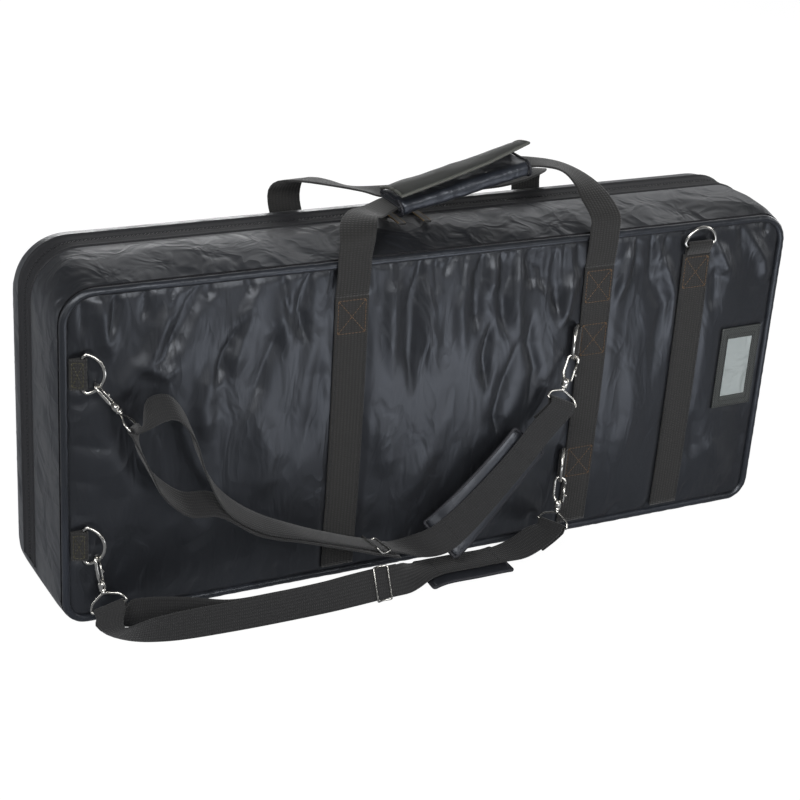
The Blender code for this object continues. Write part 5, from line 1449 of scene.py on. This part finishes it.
def make_flap():
    out = between(0, 1, 1 / 14)
    rows = []
    for s in between(0, 1, 1 / 36):
        row = []
        for t, n in [(t, 1) for t in out] + [(t, -1) for t in reversed(out)]:
            rim = min(1.0, 6 * min(t, 1 - t) + 0.35) * min(1.0, 12 * min(s, 1 - s) + 0.4)
            spot = flap_point(s, t, n * FLAP_T / 2 * rim)
            row.append(spot + GRIP_UP * (0.0009 * noise.noise(spot * 55) * rim))
        rows.append(row)
    flap = capped(lattice("flap", rows, True), len(rows[0]))
    flap = add_piece("padded_flap", flap, FLAP_CLOTH, "grip_flap", ["grip_flap"])
    fine(flap)

    side = between(0, 1, 1 / 10)
    hem = [flap_point(0, t) for t in side] + [flap_point(s, 1.0) for s in between(0, 1, 1 / 30)[1:]]
    hem += [flap_point(1, t) for t in reversed(side[:-1])]
    add_piece("flap_binding", rod("flap_binding", hem, 0.0019, 8), PALE_BINDING_AND_HIGHLIGHT, "grip_flap")


make_wrap()
make_flap()


# ---------------------------------------------------------------- card pocket
# A binding tape frame sewn to the panel holds a clear vinyl window over a pale blank card.
CARD_MIDDLE = (HALF_LENGTH - 0.0455, 0.1905)
CARD_HALF, PANE_HALF = (0.0295, 0.0535), (0.0190, 0.0390)
# section of the frame: share of its width from the outer edge, and height over the panel
FRAME_SECTION = ((0.0, 0.0005), (0.0, 0.0020), (0.03, 0.0026), (0.12, 0.0028), (0.85, 0.0027), (0.96, 0.0024),
                 (1.0, 0.0018), (1.0, 0.0005))
FRAME_SEAMS, SEAM_LIFT = (0.0022, 0.0085), 0.0027
CARD_LIFT, PANE_LIFT = 0.0007, 0.0012
POCKET_BINDING = make_binding("pocket_binding", "#2B2D2C", "#454846")


def make_card_stock():
    """Uncoated card: matte and pale, faintly cloudy from its pulp."""
    mat, tree = start_material("blank_card")
    where = add_node(tree, "TexCoord").outputs["Object"]
    pulp = add_node(tree, "TexNoise", {"Scale": 34.0, "Detail": 5.0}, {"Vector": where})
    tone = add_node(tree, "ValToRGB", {"stops": ((0.0, "#4A5250"), (1.0, "#747C7A"))},
                    {"Fac": pulp.outputs["Fac"]})
    set_surface(tree, {"Roughness": 0.8}, {"Base Color": tone})
    return mat


def make_vinyl():
    """Clear pressed PVC sheet: a wavy gloss that hazes the card behind it."""
    mat, tree = start_material("clear_vinyl")
    where = add_node(tree, "TexCoord").outputs["Object"]
    wave = add_node(tree, "TexNoise", {"Scale": 30.0, "Detail": 2.0, "Distortion": 0.9},
                    {"Vector": where}).outputs["Fac"]
    bump = add_node(tree, "Bump", {"Strength": 1.0, "Distance": 0.009}, {"Height": wave})
    haze = add_node(tree, "MapRange", {"From Min": 0.3, "From Max": 0.7, "To Min": 0.06, "To Max": 0.16},
                    {"Value": wave})
    set_surface(tree, {"Base Color": from_hex("#D4DCDC"), "IOR": 1.53, "Alpha": 0.45},
                {"Roughness": haze, "Normal": bump})
    return mat


def card_spot(u, v, lift):
    """Point on the card pocket: u and v from its middle in metres."""
    return on_panel(CARD_MIDDLE[0] + u, CARD_MIDDLE[1] + v, -1, lift)


def make_card_window():
    rim = []
    for line in box_lines(-1, 1, -1, 1):
        rim += on_line(line, 12, lambda u, v: (u, v))[:-1]
    rows = []
    for x, z in rim:
        rows.append([card_spot(x * (CARD_HALF[0] + (PANE_HALF[0] - CARD_HALF[0]) * t),
                               z * (CARD_HALF[1] + (PANE_HALF[1] - CARD_HALF[1]) * t), lift)
                     for t, lift in FRAME_SECTION])
    mesh = changed(lattice("card_binding", rows + rows[:1], True), weld)
    add_piece("card_binding", mesh, POCKET_BINDING, "shell", ["card_frame"])

    seam = []
    for inset in FRAME_SEAMS:
        u, v = CARD_HALF[0] - inset, CARD_HALF[1] - inset
        seam += [on_line(line, 8, lambda x, z: (card_spot(x, z, SEAM_LIFT), FORWARD))
                 for line in box_lines(-u, u, -v, v)]
    add_piece("card_stitches", stitches(seam, FINE_THREAD_R, 0.0024), BLACK_THREAD, "shell")

    card_u, card_v = PANE_HALF[0] - 0.0002, PANE_HALF[1] - 0.0002
    rows = [[card_spot(u, v, CARD_LIFT) for u in np.linspace(-card_u, card_u, 9)]
            for v in np.linspace(-card_v, card_v, 17)]
    add_piece("card_insert", lattice("card_insert", rows), make_card_stock(), "shell")

    pane_u, pane_v = PANE_HALF[0] - 0.0003, PANE_HALF[1] - 0.0003
    rows = []
    for v in np.linspace(-pane_v, pane_v, 25):
        row = []
        for u in np.linspace(-pane_u, pane_u, 13):
            swell = 0.0012 * (1 - (u / pane_u) ** 2) * (1 - (v / pane_v) ** 2)
            row.append(card_spot(u, v, PANE_LIFT + swell + 0.0003 * noise.noise(Vector((u, 0, v)) * 90)))
        rows.append(row)
    add_piece("card_pane_sheet", lattice("card_pane_sheet", rows), make_vinyl(), "shell",
              ["card_pane"])


make_card_window()


# ---------------------------------------------------------------- zip pulls
# Two nickel sliders stand side by side on the coil, each with a webbing pull whose edges are tan.
SLIDER_LENGTH = 0.014
SLIDER_FOOT = 0.0004
SLIDER_SECTION = [(-0.0060, SLIDER_FOOT), (-0.0003, SLIDER_FOOT), (-0.0003, 0.0017), (0.0060, 0.0017),
                  (0.0060, 0.0034), (0.0052, 0.0046), (0.0036, 0.0053), (-0.0036, 0.0053), (-0.0052, 0.0046),
                  (-0.0060, 0.0034)]
SLIDER_SHAPE = ((-0.5, 0.80), (-0.46, 0.94), (-0.36, 1.0), (0.36, 1.0), (0.46, 0.94), (0.5, 0.80))
BRIDGE = [(-0.0045, -0.0048, 0.0050), (-0.0040, -0.0062, 0.0064), (0, -0.0066, 0.0068),
          (0.0040, -0.0062, 0.0064), (0.0045, -0.0048, 0.0050)]
TAPE_TOP = HEIGHT + TOP_RISE - 0.0002
PULL_LENGTH, PULL_W, PULL_T = 0.046, 0.0086, 0.0018
EDGE_WIRE = 0.0006
TAN_TAPE = make_binding("tan_edge_tape", "#5E4A30", "#8A7047")


def make_slider(label, x):
    """Slider body, and the bridge that the pull hangs from."""
    origin = Vector((x, ZIP_MID, TAPE_TOP))
    rows = []
    for along, slim in SLIDER_SHAPE:
        rows.append([origin + Vector((along * SLIDER_LENGTH, y * slim,
                                      SLIDER_FOOT + (z - SLIDER_FOOT) * (0.6 + 0.4 * slim)))
                     for y, z in SLIDER_SECTION])
    block = capped(lattice("slider", rows, True), len(SLIDER_SECTION))
    hoop = rod("bridge", rounded([origin + Vector(p) for p in BRIDGE], 0.002), EDGE_WIRE, 8)
    add_piece("slider_body_" + label, joined("slider", [block, hoop]), NICKEL, "slider_" + label,
              ["slider_" + label])


def make_pull(label):
    """Short webbing tab, bowed a little, with a tan cord along each edge."""
    hinge = Vector(JOINT["pull_hinge_" + label]["pos_m"])
    line = [hinge + Vector((0, -PULL_LENGTH * t, -0.0012 * t + 0.0004 * sin(pi * t)))
            for t in between(0, 1, 0.05)]
    tape = strip("pull_tape", [(point, RIGHT) for point in line], PULL_W, PULL_T)
    add_piece("pull_tape_" + label, tape, WEBBING, "pull_" + label, ["pull_" + label])
    edges = [rod("edge", [point + Vector((s * 0.0040, 0, 0.0005)) for point in line[1:-1]], EDGE_WIRE, 8)
             for s in (-1, 1)]
    add_piece("pull_edges_" + label, joined("edges", edges), TAN_TAPE, "pull_" + label)


for label, x in (("left", -0.045), ("right", -0.013)):
    make_slider(label, x)
    make_pull(label)


# ---------------------------------------------------------------- shoulder straps
# Two lengths of 36 mm webbing, each turned round an eye at both ends and doubled back through a
# tri-glide, lie where they fell: one across the front panel, one on edge on the floor.
EYE_WRAP = EYE_WIRE + 0.0004 + STRAP_T / 2
PLY, GLIDE_PLY = STRAP_T + 0.0010, 0.0054
STRAP_WEB = make_webbing("shoulder_webbing", "#0F0F10", "#212122")


def framed(path):
    """(point, run, width, face) at each point of a path."""
    out = []
    for i, (point, wide) in enumerate(path):
        run = (path[min(i + 1, len(path) - 1)][0] - path[max(i - 1, 0)][0]).normalized()
        out.append((point, run, wide.normalized(), run.cross(wide).normalized()))
    return out


def wrap_bar(place):
    """Stations of webbing turned round an eye's bar."""
    bar, leave, wide = EYES[place]
    face = leave.cross(wide)
    out = [bar - face * EYE_WRAP + leave * 0.006]
    for turn in between(0, pi, pi / 5):
        out.append(bar - face * EYE_WRAP * cos(turn) - leave * EYE_WRAP * sin(turn))
    out.append(bar + face * EYE_WRAP + leave * 0.006)
    return [(point, wide) for point in out]


def ply_under(stations, gaps):
    """Stations of the second ply, in reverse, this far behind the first."""
    plies = list(zip(framed(stations), gaps))
    return [(point - face * gap, wide) for (point, _, wide, face), gap in reversed(plies)]


upper_run = [
    at(-0.290, -0.1210, 0.1440, (0, 0.90, 0.43)),
    at(-0.248, -0.1210, 0.1090, (0, 0.96, 0.28)),
    at(-0.192, -0.1215, 0.0850, (0, 1, 0)),
    at(-0.134, -0.1220, 0.0635, (0, 0.995, -0.10)),
    at(-0.100, -0.1220, 0.0520, (0, 0.995, -0.10)),
    at(-0.074, -0.1220, 0.0440, (0, 0.995, -0.10)),
]
upper_inner = ply_under(upper_run, (0.0100, 0.0056, 0.0044, 0.0046, GLIDE_PLY, GLIDE_PLY)) + [
    at(-0.330, -0.1170, 0.1430, (0, 0.90, 0.43)),
    at(-0.360, -0.1150, 0.1700, (-0.05, 0.90, 0.40)),
    at(-0.376, -0.1120, 0.2030, (-0.10, 0.90, 0.35)),
]
upper_outer = [
    at(-0.366, -0.1150, 0.2560, (-0.05, 0.90, 0.40)),
    at(-0.346, -0.1180, 0.2590, (0, 0.90, 0.43)),
    at(-0.327, -0.1195, 0.2340, (0, 0.90, 0.43)),
    at(-0.313, -0.1205, 0.1900, (0, 0.90, 0.43)),
] + upper_run + [
    at(-0.045, -0.1235, 0.0405, (-0.20, 0.91, 0.33)),
    at(-0.018, -0.1260, 0.0460, (-0.45, 0.65, 0.60)),
    at(0.010, -0.1270, 0.0660, (-0.62, 0.35, 0.70)),
    at(0.045, -0.1260, 0.0980, (-0.70, 0.15, 0.69)),
    at(0.080, -0.1240, 0.1330, (-0.73, 0.05, 0.68)),
    at(0.110, -0.1210, 0.1650, (-0.78, 0.05, 0.62)),
]
upper_tail = [at(0.113, -0.1170, 0.1695, (-0.78, 0.05, 0.62))]
upper_path = flow(upper_inner + wrap_bar("upper_left") + upper_outer + wrap_bar("upper_middle") + upper_tail)
lower_run = [
    at(-0.2900, -0.1590, 0.0189, (0, 0.10, 0.99)),
    at(-0.2400, -0.1595, 0.0189, (0, 0.15, 0.99)),
    at(-0.1800, -0.1585, 0.0190, (0, 0.22, 0.98)),
    at(-0.1400, -0.1565, 0.0200, (0, 0.38, 0.92)),
    at(-0.1060, -0.1544, 0.0204, (0, 0.40, 0.92)),
    at(-0.0820, -0.1529, 0.0201, (0, 0.44, 0.90)),
]
lower_inner = ply_under(lower_run, (0.0060, PLY, PLY, 0.0046, GLIDE_PLY, GLIDE_PLY)) + [
    at(-0.328, -0.1330, 0.0189, (0, 0, 1)),
    at(-0.365, -0.1180, 0.0189, (0.05, -0.05, 1)),
    at(-0.390, -0.1130, 0.0190, (0.20, -0.10, 0.97)),
    at(-0.4025, -0.1115, 0.0215, (0.58, -0.30, 0.72)),
]
lower_outer = [
    at(-0.4165, -0.1240, 0.0190, (0.65, -0.60, 0.45)),
    at(-0.4135, -0.1360, 0.0145, (0.30, -0.75, 0.60)),
    at(-0.4000, -0.1480, 0.0165, (0.05, -0.55, 0.83)),
    at(-0.3780, -0.1535, 0.0182, (0, -0.25, 0.97)),
    at(-0.3450, -0.1570, 0.0189, (0, 0, 1)),
] + lower_run + [
    at(-0.0600, -0.1450, 0.0166, (0, 0.92, 0.39)),
    at(-0.0400, -0.1350, 0.0142, (0, 0.99, 0.08)),
    at(-0.0200, -0.1300, 0.0132, (0, 1, 0)),
    at(0.0200, -0.1300, 0.0130, (0, 1, 0)),
    at(0.0600, -0.1300, 0.0130, (0, 1, 0)),
    at(0.0880, -0.1270, 0.0140, (-0.10, 0.97, 0.20)),
    at(0.1150, -0.1190, 0.0185, (-0.15, 0.93, 0.32)),
]
lower_tail = [at(0.1190, -0.1155, 0.0132, (-0.15, 0.93, 0.32))]
lower_path = flow(lower_inner + wrap_bar("lower_left") + lower_outer + wrap_bar("lower_middle") + lower_tail)
for label, path in (("upper", upper_path), ("lower", lower_path)):
    webbing = strip("shoulder_strap", path, STRAP_W, STRAP_T, CRIMP)
    add_piece("shoulder_strap_" + label, webbing, STRAP_WEB, "shell",
              ["shoulder_webbing_" + label])


# ---------------------------------------------------------------- shoulder pads
# A foam pad in a nylon sleeve lies under each strap, its edges bound in grosgrain; two cross seams hold
# the webbing down on it.
PAD_W, PAD_T, PAD_RIM = 0.056, 0.010, 0.0025
PAD_GAP = 0.0010
PAD_SEAMS, SEAM_DIP = (0.12, 0.88), 0.28
PAD_COLUMNS = [-1, -0.97, -0.92, -0.84, -0.7, -0.5, -0.25, 0, 0.25, 0.5, 0.7, 0.84, 0.92, 0.97, 1]
PAD_CLOTH = make_taffeta("pad_sleeve", ("#15161A", "#202227"), 0.5)


def make_pad(name, path, start_x, end_x):
    """Pad under a strap between two X values; it thins to its bound edges and dips at its seams."""
    spots = [f for f in framed(path) if start_x <= f[0].x <= end_x and f[1].x > 0]
    last = len(spots) - 1
    edge = PAD_RIM * 0.55
    rows, rims = [], ([], [])
    for i, (point, _, wide, face) in enumerate(spots):
        t = i / last
        ends = min(1.0, (min(t, 1 - t) / 0.05)) ** 0.5 if 0 < t < 1 else 0.0
        dip = 1 - sum(SEAM_DIP * exp(-((t - seam) / 0.02) ** 2) for seam in PAD_SEAMS)
        middle = point - face * (STRAP_T / 2 + PAD_GAP + PAD_T / 2)
        row = []
        for w, sign in [(w, -1) for w in PAD_COLUMNS] + [(w, 1) for w in reversed(PAD_COLUMNS)]:
            swell = edge + (PAD_T / 2 - edge) * (1 - abs(w) ** 5) * (0.35 + 0.65 * ends) * dip
            row.append(middle + wide * w * PAD_W / 2 + face * sign * swell)
        rows.append(row)
        for rim, w in zip(rims, (-1, 1)):
            rim.append(middle + wide * w * (PAD_W / 2 - 0.0008))
    pad = capped(lattice(name, rows, True), len(rows[0]))
    pad = add_piece("foam_" + name, pad, PAD_CLOTH, "shell", [name])
    fine(pad)
    loop = rounded(rims[0] + list(reversed(rims[1])), 0.008, closed=True)
    add_piece("bound_" + name, tube("bound", loop, 0.0021, True, 8), DARK_BINDING, "shell")
    seams = []
    for seam in PAD_SEAMS:
        point, _, wide, face = spots[round(seam * last)]
        top = point + face * (STRAP_T / 2)
        seams.append([(top + wide * w * STRAP_W / 2, face) for w in np.linspace(-0.92, 0.92, 9)])
    add_piece("seams_" + name, stitches(seams), BLACK_THREAD, "shell")


make_pad("shoulder_pad_upper", upper_path, -0.020, 0.098)
make_pad("shoulder_pad_lower", lower_path, -0.042, 0.068)


# ---------------------------------------------------------------- tri-glides
# Bent-wire slides set the strap length: a rounded frame of nickel-plated wire with a centre bar under
# the outer ply.
GLIDE_WIRE, GLIDE_HALF = 0.0011, 0.0090
GLIDE_OVER = STRAP_T / 2 + 0.0005 + GLIDE_WIRE
GLIDE_REACH = STRAP_W / 2 + 0.0003 + GLIDE_WIRE
GLIDE_BEND = ((-1, 1), (-0.55, 0), (0, -1), (0.55, 0), (1, 1))     # share of the half length, way off the ply


def make_glide(label, stations):
    point, run, wide, _ = framed(stations)[-2]
    wide = square_to(wide, run)
    matrix = framed_on(run, wide, run.cross(wide), point)
    loop = [matrix @ Vector((-side * along * GLIDE_HALF, side * GLIDE_REACH, off * GLIDE_OVER))
            for side in (1, -1) for along, off in GLIDE_BEND]
    wire = tube("glide", rounded(loop, 0.0025, closed=True), GLIDE_WIRE, True, 10)
    bar = rod("bar", [matrix @ Vector((0, GLIDE_REACH * t, -GLIDE_OVER)) for t in between(-1, 1, 0.5)],
              0.85 * GLIDE_WIRE, 10)
    add_piece("wire_glide_" + label, joined("glide", [wire, bar]), NICKEL, "glide_" + label,
              ["glide_" + label])


make_glide("upper", upper_run)
make_glide("lower", lower_run)


# the box of every shown mesh but the floor, in metres
low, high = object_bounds()
